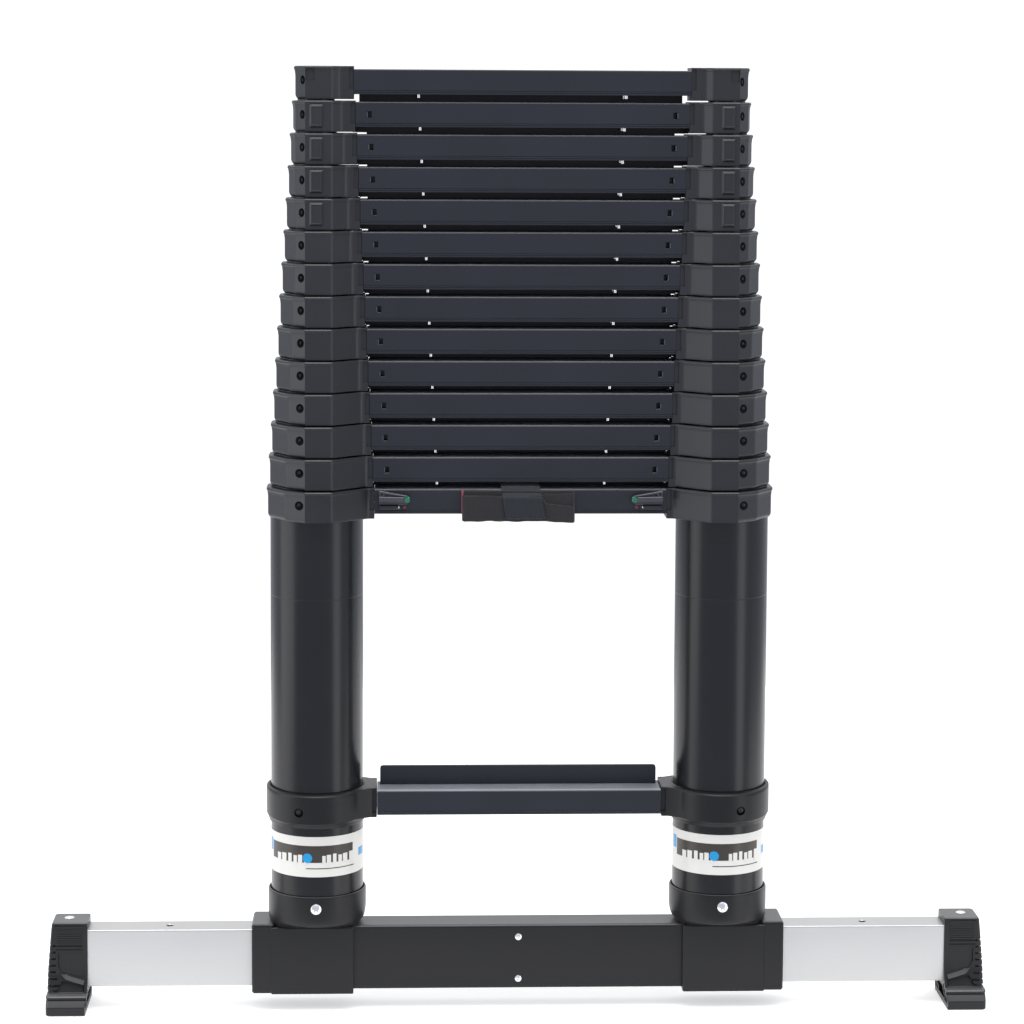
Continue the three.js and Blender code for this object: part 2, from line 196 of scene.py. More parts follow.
def rounded(corners, steps=5):
    """An outline from (a, b, radius) corners, with each corner turned into a curve."""
    outline = []
    for i, (a, b, radius) in enumerate(corners):
        corner = Vector((a, b))
        before = Vector(corners[i - 1][:2]) - corner
        after = Vector(corners[(i + 1) % len(corners)][:2]) - corner
        if radius <= 0:
            outline.append((a, b))
            continue
        half_turn = before.angle(after) / 2
        reach = min(radius / math.tan(half_turn), 0.48 * before.length, 0.48 * after.length)
        start = corner + before.normalized() * reach
        end = corner + after.normalized() * reach
        for step in range(steps + 1):
            t = step / steps
            point = start * (1 - t) ** 2 + corner * 2 * t * (1 - t) + end * t**2
            outline.append((point.x, point.y))
    return outline


def normals(outline):
    """Outward normals of an anticlockwise outline, longer at its corners so that an inset keeps its width."""
    found = []
    for i, here in enumerate(outline):
        before = Vector(here) - Vector(outline[i - 1])
        after = Vector(outline[(i + 1) % len(outline)]) - Vector(here)
        first = Vector((before.y, -before.x)).normalized()
        second = Vector((after.y, -after.x)).normalized()
        middle = (first + second).normalized()
        found.append(middle / max(0.6, middle.dot(first)))
    return found


def inset(outline, distance):
    return [(a - n.x * distance, b - n.y * distance) for (a, b), n in zip(outline, normals(outline))]


def rectangle(a0, b0, a1, b1, radius):
    return [(a0, b0, radius), (a1, b0, radius), (a1, b1, radius), (a0, b1, radius)]


def block(low, high, radius=1.0, steps=3):
    """A box with rounded upright edges, and with its top and bottom edges eased."""
    outline = rounded(rectangle(low[0], low[1], high[0], high[1], radius), steps)
    ease = min(radius, (high[2] - low[2]) * 0.4)
    levels = [(low[2], ease), (low[2] + 0.3 * ease, 0.3 * ease), (low[2] + ease, 0)]
    levels += [(high[2] - ease, 0), (high[2] - 0.3 * ease, 0.3 * ease), (high[2], ease)]
    return loft([[(x, y, z) for x, y in inset(outline, depth)] for z, depth in levels])


def plain_box(low, high):
    """A box with sharp edges, for cutting with."""
    outline = [(low[0], low[1]), (high[0], low[1]), (high[0], high[1]), (low[0], high[1])]
    return loft([[(x, y, z) for x, y in outline] for z in (low[2], high[2])])


def drawn_out(outline, low, high, ease, place):
    """An outline of (a, b) points drawn out from low to high. place makes a point of (along, a, b)."""
    levels = [(low, ease), (low + ease, 0), (high - ease, 0), (high, ease)] if ease else [(low, 0), (high, 0)]
    return loft([[place(along, a, b) for a, b in inset(outline, depth)] for along, depth in levels])


def prism_x(outline, low, high, ease=0.0):
    """An outline of (y, z) points, drawn out along X."""
    return drawn_out(outline, low, high, ease, lambda x, y, z: (x, y, z))


def prism_y(outline, low, high, ease=0.0):
    """An outline of (x, z) points, drawn out along Y."""
    return drawn_out(outline, low, high, ease, lambda y, x, z: (x, y, z))


def hollow_bar(node, wall, radius, inner_radius):
    """A CAD node's box as a hollow bar along X, with rounded edges outside and in."""
    low, high = node_box(node)
    outer = rounded(rectangle(low.y, low.z, high.y, high.z, radius), 4)
    inner = rounded(rectangle(low.y + wall, low.z + wall, high.y - wall, high.z - wall, inner_radius), 4)
    ends = ((low.x, outer), (high.x, outer), (high.x, inner), (low.x, inner))
    return loft([[(x, y, z) for y, z in ring] for x, ring in ends], closed=True)


def turned(start, direction, profile, sides=32):
    """A turned shape: profile holds (distance along the axis, radius) pairs, closed at both ends."""
    axis = Vector(direction).normalized()
    across = axis.orthogonal().normalized()
    up = axis.cross(across)
    rings = []
    for along, radius in profile:
        centre = Vector(start) + axis * along
        turns = [2 * math.pi * i / sides for i in range(sides)]
        rings.append([tuple(centre + (across * math.cos(t) + up * math.sin(t)) * radius) for t in turns])
    return loft(rings)


def rod(start, direction, length, radius, sides):
    return turned(start, direction, [(0, radius), (length, radius)], sides)


def pipe(x, profile, sides=96):
    """An upright hollow shape: profile holds (z, radius) pairs and goes round its wall."""
    angles = [2 * math.pi * i / sides for i in range(sides)]
    rings = [[(x + r * math.cos(a), r * math.sin(a), z) for a in angles] for z, r in profile]
    return loft(rings, closed=True)


def solid_mesh(name, shape, scale):
    points, faces = shape
    mesh = bpy.data.meshes.new(name)
    mesh.from_pydata([Vector(p) * scale for p in points], [], faces)
    work = bmesh.new()
    work.from_mesh(mesh)
    bmesh.ops.recalc_face_normals(work, faces=work.faces)
    work.to_mesh(mesh)
    work.free()
    return mesh


def carve(shape, *others, operation="DIFFERENCE"):
    """Cuts closed shapes out of a closed shape, or joins them to it when the operation is UNION."""
    scene_objects = bpy.context.scene.collection.objects
    base = bpy.data.objects.new("carved", solid_mesh("carved", shape, 1))
    scene_objects.link(base)
    helpers = [base]
    for other in others:
        tool = bpy.data.objects.new("tool", solid_mesh("tool", other, 1))
        scene_objects.link(tool)
        helpers.append(tool)
        modifier = base.modifiers.new("carve", "BOOLEAN")
        modifier.solver = "MANIFOLD"
        modifier.operation = operation
        modifier.object = tool
    evaluated = base.evaluated_get(bpy.context.evaluated_depsgraph_get())
    result = evaluated.to_mesh()
    points = [tuple(v.co) for v in result.vertices]
    faces = [tuple(polygon.vertices) for polygon in result.polygons]
    evaluated.to_mesh_clear()
    for helper in helpers:
        mesh = helper.data
        bpy.data.objects.remove(helper)
        bpy.data.meshes.remove(mesh)
    return points, faces


def join(shape, *others):
    return carve(shape, *others, operation="UNION")


# Materials


def new_material(name):
    material = bpy.data.materials.new(name)
    material.use_nodes = True
    tree = material.node_tree
    return material, tree, tree.nodes["Principled BSDF"]


def add_node(tree, kind, **inputs):
    """A node with its inputs set, each to a value or to another node's output. _ stands for a space."""
    node = tree.nodes.new("ShaderNode" + kind)
    if kind == "Mix":
        node.data_type = "RGBA"
    for name, value in inputs.items():
        give(tree, node, name.replace("_", " "), value)
    return node


def give(tree, node, name, value):
    if isinstance(value, bpy.types.NodeSocket):
        tree.links.new(value, node.inputs[name])
    else:
        node.inputs[name].default_value = value


def noise(tree, scale, stretch=(1, 1, 1), detail=3):
    """Noise fixed to the piece, with about scale spots to the metre."""
    place = add_node(tree, "TexCoord").outputs["Object"]
    mapping = add_node(tree, "Mapping", Scale=stretch, Vector=place)
    texture = add_node(tree, "TexNoise", Scale=scale, Detail=detail, Vector=mapping.outputs["Vector"])
    return texture.outputs["Fac"]


def ranged(tree, value, low, high, start=0.3, end=0.7):
    span = {"From_Min": start, "From_Max": end, "To_Min": low, "To_Max": high}
    return add_node(tree, "MapRange", Value=value, **span).outputs["Result"]


def blended(tree, factor, first, second):
    """A mix of two colours, each of three numbers or another node's output."""
    first, second = ((*c, 1) if isinstance(c, tuple) else c for c in (first, second))
    return add_node(tree, "Mix", A=first, B=second, Factor=factor).outputs["Result"]


def combined(tree, operation, first, second):
    node = tree.nodes.new("ShaderNodeMath")
    node.operation = operation
    tree.links.new(first, node.inputs[0])
    tree.links.new(second, node.inputs[1])
    return node.outputs["Value"]


def sum_of(tree, first, second):
    return combined(tree, "ADD", first, second)


def bumped(tree, shader, height, strength, depth):
    bump = add_node(tree, "Bump", Strength=strength, Distance=depth, Height=height)
    give(tree, shader, "Normal", bump.outputs["Normal"])


BUMP_DEPTH = 0.0003  # metres
CLOUD_SCALE = 14  # of the slow variation in colour and gloss


def finish(name, color, spread, roughness, texture, bump=0.2, specular=0.5, metallic=0.0):
    """A surface of mottled colour and gloss. texture is a grain's scale, or streaks' scale and stretch."""
    material, tree, shader = new_material(name)
    cloud = noise(tree, CLOUD_SCALE, detail=4)
    darker, lighter = (tuple(c * share for c in color) for share in (1 - spread, 1 + spread))
    fine = noise(tree, *texture, detail=2) if isinstance(texture, tuple) else noise(tree, texture)
    rough = ranged(tree, sum_of(tree, fine, cloud), roughness * 0.88, roughness * 1.14, 0.6, 1.4)
    give(tree, shader, "Base Color", blended(tree, ranged(tree, cloud, 0, 1), darker, lighter))
    give(tree, shader, "Roughness", rough)
    give(tree, shader, "Metallic", metallic)
    give(tree, shader, "Specular IOR Level", specular)
    bumped(tree, shader, fine, bump, BUMP_DEPTH)
    return material


LINES_ALONG_X = (0.012, 1, 1)
LINES_ALONG_Z = (1, 1, 0.012)
DRAWN_Z = (700, LINES_ALONG_Z)
DRAWN_X = (800, LINES_ALONG_X)
BRUSHED_X = (900, LINES_ALONG_X)

FINISHES = {  # look: (name, colour, its spread, roughness, texture, bump, specular level, metallic)
    "tube": ("tube_black", (0.006, 0.006, 0.008), 0.10, 0.25, DRAWN_Z, 0.06, 0.40),
    "rung": ("rung_black", (0.012, 0.014, 0.021), 0.10, 0.34, DRAWN_X, 0.10, 0.42),
    # tread: a painted highlight for the light on the rungs' upward faces
    "tread": ("rung_tread", (0.270, 0.285, 0.320), 0.16, 0.48, DRAWN_X),
    "collar": ("collar_plastic", (0.014, 0.015, 0.018), 0.16, 0.38, 1500, 0.14, 0.45),
    "base": ("base_plastic", (0.006, 0.006, 0.007), 0.14, 0.36, 1300, 0.14, 0.33),
    "sleeve": ("sleeve_black", (0.006, 0.006, 0.007), 0.12, 0.33, 1100, 0.10, 0.33),
    "foot": ("foot_rubber", (0.007, 0.007, 0.008), 0.18, 0.38, 1000, 0.20, 0.36),
    # foot_top: painted light on the foot's upward faces
    "foot_top": ("foot_top_rubber", (0.085, 0.085, 0.089), 0.18, 0.42, 1000),
    # foot_ledge: painted light on the foot's sloping ledges
    "foot_ledge": ("foot_ledge_rubber", (0.035, 0.035, 0.038), 0.18, 0.42, 1000),
    # sleeve_top: painted light on the upward faces of the sleeve and sockets
    "sleeve_top": ("sleeve_top_black", (0.060, 0.060, 0.066), 0.12, 0.36, 1100, 0.10),
    "silver": ("arm_aluminium", (0.53, 0.53, 0.53), 0.02, 0.42, BRUSHED_X, 0.12, 0.5, 1.0),
    "steel": ("screw_steel", (0.80, 0.80, 0.82), 0.05, 0.22, 1400, 0.04, 0.5, 1.0),
    "black_steel": ("screw_black", (0.05, 0.05, 0.055), 0.10, 0.30, 1400, 0.05, 0.5, 0.6),
    "lever": ("lever_plastic", (0.045, 0.047, 0.060), 0.12, 0.38, 1500, 0.12),
    "green": ("indicator_green", (0.012, 0.15, 0.08), 0.10, 0.35, 1500, 0.05),
    "red": ("indicator_red", (0.16, 0.030, 0.040), 0.10, 0.40, 1500, 0.05),
    "trim": ("strap_trim", (0.26, 0.040, 0.080), 0.18, 0.70, 2500, 0.4),
    "label": ("label_vinyl", (0.68, 0.67, 0.63), 0.02, 0.30, 900, 0.02),
    "print": ("label_print", (0.040, 0.034, 0.028), 0.06, 0.30, 900, 0.02),
    "blue": ("label_blue", (0.01, 0.28, 0.58), 0.05, 0.30, 900, 0.02),
}
MATERIALS = {look: finish(*values) for look, values in FINISHES.items()}


def webbing(name, color, ribs):
    """Woven tape: ribs across its width, crossed by finer threads, with a soft sheen."""
    material, tree, shader = new_material(name)
    place = add_node(tree, "TexCoord").outputs["Object"]
    waves = []
    for direction, scale in (("X", ribs), ("Z", ribs * 1.4)):
        wave = add_node(tree, "TexWave", Scale=scale, Distortion=0.6, Detail=1, Vector=place)
        wave.bands_direction = direction
        waves.append(wave.outputs["Fac"])
    height = sum_of(tree, sum_of(tree, *waves), noise(tree, 2600, detail=2))
    lighter = tuple(c * 1.7 for c in color)
    give(tree, shader, "Base Color", blended(tree, ranged(tree, height, 0, 1, 0.6, 2.2), color, lighter))
    give(tree, shader, "Roughness", 0.85)
    give(tree, shader, "Sheen Weight", 0.25)
    give(tree, shader, "Sheen Roughness", 0.5)
    give(tree, shader, "Specular IOR Level", 0.25)
    bumped(tree, shader, height, 0.5, 0.0004)
    return material


MATERIALS["strap"] = webbing("strap_loop_pile", (0.014, 0.013, 0.015), 260)
MATERIALS["band"] = webbing("strap_band_weave", (0.011, 0.013, 0.017), 200)


# Pieces


def add(name, shape, body, look, stands_for=()):
    """Makes a piece from a shape, with its body and the CAD nodes that it stands for."""
    mesh = solid_mesh(name, shape, MM)
    mesh.materials.append(MATERIALS[look])
    mesh.shade_smooth()
    mesh.set_sharp_from_angle(angle=SHARP)
    piece = bpy.data.objects.new(name, mesh)
    bpy.context.scene.collection.objects.link(piece)
    shading = piece.modifiers.new("shading", "WEIGHTED_NORMAL")
    shading.keep_sharp = True
    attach(piece, body)
    if stands_for:
        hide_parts(*stands_for)
    return piece


def lighten(piece, look, steepest, flattest=1.1, low=0.0, high=math.inf):
    """Gives a piece's faces within a range of slopes and heights (in mm) another, lighter look, which paints
    on the light that falls on them.
    """
    piece.data.materials.append(MATERIALS[look])
    for polygon in piece.data.polygons:
        if steepest < polygon.normal.z < flattest and low < polygon.center.z / MM < high:
            polygon.material_index = len(piece.data.materials) - 1


def add_pair(name, shape, body, look, stands_for=(), lighter=()):
    """The same piece on the left and mirrored on the right. {} in a name stands for the side. lighter gives
    faces painted light.
    """
    for side in SIDES:
        on_side = shape if side == "left" else mirrored(shape)
        nodes = [node.format(side) for node in stands_for]
        piece = add(name.format(side), on_side, body.format(side), look, nodes)
        for painted_light_look in lighter:
            lighten(piece, *painted_light_look)


def screw_head(start, direction, radius, height, sides=32):
    """A domed head with a cross recess."""
    shares = [(-1, 0.6), (0, 0.94), (0.15, 1), (0.45, 0.94), (0.75, 0.72), (0.94, 0.4), (1, 0.12)]
    head = turned(start, direction, [(height * a, radius * b) for a, b in shares], sides)
    axis = Vector(direction).normalized()
    across = axis.orthogonal().normalized()
    slots = []
    for arm in (across, axis.cross(across)):
        width = axis.cross(arm)
        middle = Vector(start) + axis * height * 0.8
        corners = ((-1, -1), (1, -1), (1, 1), (-1, 1))
        rings = []
        for depth in (-height * 0.45, height):
            centre = middle + axis * depth
            places = [centre + arm * a * radius * 0.5 + width * b * radius * 0.11 for a, b in corners]
            rings.append([tuple(place) for place in places])
        slots.append(loft(rings))
    return carve(head, *slots)


# Collars and tubes


def facet_slope(stage):
    """How steeply a collar's facet falls back. It is steeper on the small collars at the top."""
    return FACET_SLOPE + STEEPER_FACET * max(0, stage - 6)


def collar_corners(stage):
    """Half of a collar's outline from above, as (u, v, radius) corners from its outer side to the rung."""
    radius = tube_radius(stage)
    outer = radius + COLLAR_SIDE
    front = radius + COLLAR_FRONT
    facet_x = min(outer - 0.8, max(FACET_MIN_X, FACET_SHARE * outer))
    return [
        (outer, SIDE_SHARE * radius, 0.28 * radius),
        (facet_x, front - facet_slope(stage) * (facet_x - COLLAR_EDGE), 0.3 * radius),
        (COLLAR_EDGE, front, 0.8),
        (-COLLAR_SLOPE_START, front, 7),
        (-(radius + COLLAR_NECK), RUNG_HALF_DEPTH, 9),
        (-boss_end(stage), RUNG_HALF_DEPTH, 0.5),
    ]


COLLAR_FLARE = [  # (depth below the collar's top, inset of its outer side, inset of its front)
    (0, 1.2, 1.1), (0.4, 0.5, 0.5), (1.2, 0, 0), (2.8, 0.1, 0.1), (3.3, 0.55, 0.5), (5, 0.95, 0.6),
    (9, 1.4, 0.7), (COLLAR_HEIGHT - 4.4, 1.4, 0.7), (COLLAR_HEIGHT - 2.4, 1.9, 0.7),
    (COLLAR_HEIGHT - 1.1, 2.9, 0.8), (COLLAR_HEIGHT - 0.3, 3.9, 1.1), (COLLAR_HEIGHT, 4.3, 1.6),
]
SCREW_HOLE = {"radius": 4.5, "u": 16.2, "inward": 0.27, "depth": 7, "narrower": 0.035}
BOSS_SLOT = {"width": 4.6, "depth": 2.2, "low": 22, "high": 1.6}
PAD = {"inner": -7.9, "outer": 6.0, "proud": 2.5, "low": 26.5, "high": 3.4, "bevel": 2.1}
CAP_RECESS = {"inner": 0.8, "outer": 9.4, "low": 14, "high": 2.6, "depth": 1.4}


def stile_point(u, v, z):
    """A point of the left stile."""
    return (-(STILE_X + u), -v, z)


def stile_block(u0, u1, v0, v1, z0, z1):
    """A plain box of the left stile, between two places each way."""
    low = (-(STILE_X + max(u0, u1)), -max(v0, v1), min(z0, z1))
    high = (-(STILE_X + min(u0, u1)), -min(v0, v1), max(z0, z1))
    return plain_box(low, high)


def collar(stage):
    radius = tube_radius(stage)
    end = boss_end(stage)
    top = collar_top(stage)
    height = COLLAR_HEIGHT if stage < STAGES else COLLAR_HEIGHT + CAP_RISE
    half = collar_corners(stage)
    corners = half + [(u, -v, r) for u, v, r in reversed(half)]
    outline = rounded(corners)
    outward = normals(outline)
    rings = []
    for depth, side_inset, front_inset in COLLAR_FLARE:
        ring = []
        for (u, v), normal in zip(outline, outward):
            cut_back = front_inset + (side_inset - front_inset) * max(0, min(1, normal.x))
            share = min(1.0, max(0.2, (u + end) / 14))
            along = 0 if u < -end + 0.6 else normal.x
            z = top - depth * height / COLLAR_HEIGHT
            ring.append(stile_point(u - along * cut_back * share, v - normal.y * cut_back * share, z))
        rings.append(ring)
    cutters = [collar_bore(stage)]
    for facing in (1, -1):
        u, v, middle, share = screw_hole(stage)
        hole, depth = SCREW_HOLE["radius"], SCREW_HOLE["depth"]
        start = stile_point(u, facing * (v - depth), middle)
        bore = rod(start, (0, -facing, 0), depth + 12, hole, 32)
        cutters.append(narrowed(bore, start[0], share))
        low, high = top - BOSS_SLOT["low"], top - BOSS_SLOT["high"]
        near, far = facing * (RUNG_HALF_DEPTH - BOSS_SLOT["depth"]), facing * (RUNG_HALF_DEPTH + 3)
        cutters.append(stile_block(-end - 2, -end + BOSS_SLOT["width"], near, far, low, high))
        if stage == STAGES:
            u0, u1 = CAP_RECESS["inner"], CAP_RECESS["outer"]
            near = facing * (radius + COLLAR_FRONT - CAP_RECESS["depth"] - 1)
            low, high = top - CAP_RECESS["low"], top - CAP_RECESS["high"]
            cutters.append(stile_block(u0, u1, near, near + facing * 9, low, high))
    return carve(loft(rings), *cutters)


def screw_hole(stage):
    """Where a screw hole opens in a collar's facet: u, v, height, and its width as a share of its height."""
    u = SCREW_HOLE["u"] - SCREW_HOLE["inward"] * stage
    v = tube_radius(stage) + COLLAR_FRONT - facet_slope(stage) * (u - COLLAR_EDGE) - 0.7
    return u, v, collar_top(stage) - COLLAR_HEIGHT / 2 + 1.5, 1 - SCREW_HOLE["narrower"] * stage


def narrowed(shape, x, share):
    """A shape squeezed toward a place along X."""
    points, faces = shape
    return [(x + (px - x) * share, y, z) for px, y, z in points], faces


def collar_bore(stage):
    radius = tube_radius(stage)
    top = collar_top(stage)
    low = top - COLLAR_HEIGHT - 4
    start = stile_point(0, 0, low)
    step = top - LIP - low
    if stage == STAGES:
        return rod(start, (0, 0, 1), step, radius, 96)
    lip = tube_radius(stage + 1) + SLIDE_GAP
    profile = [(0, radius), (step, radius), (step, lip)]
    profile += [(top - low - 0.8, lip), (top - low, lip + 0.8), (top - low + 1, lip + 0.8)]
    return turned(start, (0, 0, 1), profile, 96)


def collar_screws(stage):
    """The two black screws at the bottom of a collar's screw holes."""
    u, v, middle, share = screw_hole(stage)
    heads = []
    for facing in (1, -1):
        seat = stile_point(u, facing * (v - SCREW_HOLE["depth"] - 0.2), middle)
        heads.append(narrowed(screw_head(seat, (0, -facing, 0), 3.4, 2.0, 20), seat[0], share))
    return merged(*heads)


def pads(stage):
    """The raised pads on the front and back of a collar, with broad bevels all round."""
    front = tube_radius(stage) + COLLAR_FRONT - 0.8
    top = collar_top(stage)
    left, right = -(STILE_X + PAD["outer"]), -(STILE_X + PAD["inner"])
    low, high = top - PAD["low"], top - PAD["high"]
    proud, bevel = PAD["proud"], PAD["bevel"]
    steps = [(-3, 0), (0.3, 0), (proud - 0.3, bevel - 0.4), (proud, bevel), (proud, bevel + 0.5)]
    steps.append((proud - 0.35, bevel + 0.8))
    made = []
    for facing in (1, -1):
        rings = []
        for rise, cut in steps:
            corners = rectangle(left + cut, low + cut, right - cut, high - cut, 1.6 - cut / 3)
            rings.append([(x, -facing * (front + rise), z) for x, z in rounded(corners, 3)])
        made.append(loft(rings))
    return merged(*made)


SEAM_Z = 419.4  # a fine seam round the widest tubes


def tube(stage):
    radius = tube_radius(stage)
    low = node_box(stage_name(stage) + "_stile_left")[0].z
    top = collar_top(stage) - LIP - 0.2
    ease = 0.4
    profile = [(low, radius - ease), (low + ease, radius)]
    if stage == 1:
        profile += [(SEAM_Z - 0.7, radius), (SEAM_Z, radius - 0.4), (SEAM_Z + 0.7, radius)]
    inner = radius - TUBE_WALL
    profile += [(top, radius), (top, inner), (low + ease, inner), (low, inner + ease)]
    return pipe(-STILE_X, profile)


def build_stiles():
    for stage in range(1, STAGES + 1):
        name = stage_name(stage)
        body = stage_body(stage)
        node = name + "_stile_{}"
        add_pair(name + "_collar_{}", collar(stage), body, "collar", [node])
        add_pair(name + "_tube_{}", tube(stage), body, "tube", [node])
        add_pair(name + "_collar_screws_{}", collar_screws(stage), body, "black_steel")
        if stage in PAD_STAGES:
            add_pair(name + "_collar_pads_{}", pads(stage), body, "collar")


# Rungs

TREAD = {"half": 19.2, "pitch": 3.2, "groove": 1.2, "depth": 0.7}
PAINTED_TOP_LIGHT_SLOPE = 0.8  # faces that face up more than this take the tread look, a painted highlight for the light on the rungs' tops
RUNG_EDGES = (2.4, 0.9)  # the chamfers along the back and front of a rung's top
FACE_GROOVES = (1.9, 3.6)  # heights above a rung's lower edge
LATCH = {"from_end": 13.2, "half_width": 2.7, "half_height": 3.2, "depth": 13}
PLUNGER = {"from_end": 63, "radius": 1.6, "length": 3.6, "v": 15}
FLANGE = {"height": 7.1, "thick": 3, "setback": 0.4, "top_setback": 4.6, "above_boss": 5.6, "overrun": 3.5}
FLANGE_NOTCH = {"length": 11, "rise": 1.5, "from_stage": 4}  # at the upper flanges' lower corners
STRAP_ROOM = {"half": 19.3, "rise": 2.6}  # the gap that section 2's flange leaves for the strap


def rung_outline(low):
    """A rung from its end, as (y, z) points: eased corners, two fine grooves on each face, a ribbed top."""
    half, top = RUNG_HALF_DEPTH, low + RUNG_HEIGHT
    back = []
    for height in FACE_GROOVES:
        back += [(half, low + height - 0.3), (half - 0.35, low + height), (half, low + height + 0.3)]
    front = [(-y, z) for y, z in reversed(back)]
    tread = []
    wide, floor = TREAD["groove"] / 2, top - TREAD["depth"]
    for i in range(int(2 * TREAD["half"] / TREAD["pitch"])):
        y = TREAD["half"] - (i + 0.5) * TREAD["pitch"]
        tread += [(y + wide, top), (y + wide * 0.6, floor), (y - wide * 0.6, floor), (y - wide, top)]
    back_edge, front_edge = RUNG_EDGES
    corners = [(half, low, 0.9), (half, top - back_edge, 1.2), (half - back_edge, top, 1.2)]
    corners += [(-half + front_edge, top, 0.5), (-half, top - front_edge, 0.5), (-half, low, 0.9)]
    edges = rounded(corners, 3)
    per = len(edges) // len(corners)
    over = edges[per : 3 * per] + tread + edges[3 * per : 5 * per]
    return edges[:per] + back + over + front + edges[5 * per :]


def rung_body(half_length, low):
    return prism_x(rung_outline(low), -half_length, half_length)


def latch_cutters(half_length, low):
    middle = low + RUNG_HEIGHT / 2
    cutters = []
    for side in SIDES.values():
        x = side * (half_length - LATCH["from_end"])
        wide, tall = LATCH["half_width"], LATCH["half_height"]
        window = rounded(rectangle(x - wide, middle - tall, x + wide, middle + tall, 0))
        cutters.append(prism_y(window, -RUNG_HALF_DEPTH - 2, -RUNG_HALF_DEPTH + LATCH["depth"]))
    return cutters


def latch_tongues(half_length, low):
    """A small latch in each window, on its outer side."""
    middle = low + RUNG_HEIGHT / 2
    tongues = []
    for side in SIDES.values():
        x = side * (half_length - LATCH["from_end"] + LATCH["half_width"] - 0.7)
        face = -RUNG_HALF_DEPTH + 0.1
        low_corner = (x - 0.7, face, middle - LATCH["half_height"] + 0.2)
        high_corner = (x + 0.7, face + LATCH["depth"], middle + LATCH["half_height"] - 0.2)
        tongues.append(block(low_corner, high_corner, 0.6))
    return merged(*tongues)


def plungers(half_length, low):
    made = []
    for side in SIDES.values():
        for v in (PLUNGER["v"], -PLUNGER["v"]):
            start = (side * (half_length - PLUNGER["from_end"]), -v, low + 1)
            length, radius = PLUNGER["length"] + 1, PLUNGER["radius"]
            profile = [(0, radius), (length - 0.5, radius), (length, radius - 0.5)]
            made.append(turned(start, (0, 0, -1), profile, 20))
    return merged(*made)


def flange(stage, half_length, low):
    """The rear flange that closes the gap to the rung below. Section 2's leaves room for the strap."""
    bottom = low - FLANGE["height"]
    end = half_length - (FLANGE["top_setback"] if stage == STAGES else FLANGE["setback"])
    reach = end if stage == STAGES else half_length + FLANGE["overrun"]
    first = FLANGE_NOTCH["from_stage"]
    share = max(0, stage - first) / (STAGES - first) if stage < STAGES else 0
    notch = end - FLANGE_NOTCH["length"] * share
    notch_top = bottom + FLANGE_NOTCH["rise"] * share
    above_boss = low - FLANGE["above_boss"]
    outline = [(-reach, low + 0.5), (-reach, above_boss), (-end, above_boss)]
    if share:
        outline += [(-end, notch_top), (-notch, notch_top), (-notch, bottom)]
    else:
        outline += [(-end, bottom)]
    right = [(-x, z) for x, z in reversed(outline)]
    spans = [(-notch, notch)]
    if stage == 2:
        room, above_strap = STRAP_ROOM["half"], bottom + STRAP_ROOM["rise"]
        outline += [(-room, bottom), (-room, above_strap), (room, above_strap), (room, bottom)]
        spans = [(-notch, -room), (room, notch)]
    front, back = RUNG_HALF_DEPTH - FLANGE["thick"], RUNG_HALF_DEPTH - 0.05
    edge = RUNG_HALF_DEPTH - RUNG_EDGES[0]
    lip = [(front, bottom + 1), (front, bottom), (edge + 0.15, bottom)]
    lip += [(back - 0.5, bottom - 1.7), (back, bottom - 1.7), (back, bottom + 1)]
    return join(prism_y(outline + right, front, back), *[prism_x(lip, *span) for span in spans])


def build_rungs():
    for stage in range(1, STAGES + 1):
        name = stage_name(stage)
        body = stage_body(stage)
        box_high = rung_box(stage)[1]
        half_length = box_high.x
        low = box_high.z - RUNG_HEIGHT
        shape = rung_body(half_length, low)
        if 1 < stage < STAGES:
            shape = carve(shape, *latch_cutters(half_length, low))
            add(name + "_rung_latches", latch_tongues(half_length, low), body, "lever")
        rung = add(name + "_rung_extrusion", shape, body, "rung", [name + "_rung"])
        # the rung's upward faces get a painted highlight
        lighten(rung, "tread", PAINTED_TOP_LIGHT_SLOPE)
        if stage > 1:
            add(name + "_rung_flange", flange(stage, half_length, low), body, "rung")
            add(name + "_rung_plungers", plungers(half_length, low), body, "steel")


KICK_PLATE = {"thick": 3, "corner": 3.5, "foot": 2, "rivets": (-120, -40, 40, 120)}


def build_bottom_rung():
    box_high = node_box("bottom_rung")[1]
    shape = rung_body(box_high.x, box_high.z - RUNG_HEIGHT)
    rung = add("bottom_rung_extrusion", shape, "base", "rung", ["bottom_rung"])
    # the bottom rung's upward faces get a painted highlight
    lighten(rung, "tread", PAINTED_TOP_LIGHT_SLOPE)
    low, high = node_box("kick_plate")
    corner = KICK_PLATE["corner"]
    corners = [(low.x, low.z, 0), (high.x, low.z, 0), (high.x, high.z, corner), (low.x, high.z, corner)]
    plate = prism_y(rounded(corners), low.y, low.y + KICK_PLATE["thick"], 0.4)
    foot_top = low.z + KICK_PLATE["foot"]
    foot = block((low.x, low.y + 1, low.z), (high.x, high.y, foot_top), 0.6)
    add("kick_plate_angle", join(plate, foot), "base", "rung", ["kick_plate"])
    places = [(x, high.y - 4, foot_top - 0.3) for x in KICK_PLATE["rivets"]]
    heads = [screw_head(place, (0, 0, 1), 2.6, 1.2, 20) for place in places]
    add("kick_plate_rivets", merged(*heads), "base", "black_steel")


BOTTOM_COLLAR = {"step": 6.5, "hole_u": 17, "hole_drop": 19, "hole_radius": 4.4, "bulge": 3.2, "dip": 2.4}


def bulged_ring(x, profile, bulge, dip, sides=96):
    """An upright hollow shape that stands out further in front and behind, where its top edge also dips."""
    rings = []
    for z, radius, share in profile:
        ring = []
        for i in range(sides):
            angle = 2 * math.pi * i / sides
            facing = abs(math.sin(angle)) ** 1.5 * share
            reach = radius + bulge * facing
            ring.append((x + reach * math.cos(angle), reach * math.sin(angle), z - dip * facing))
        rings.append(ring)
    return loft(rings, closed=True)


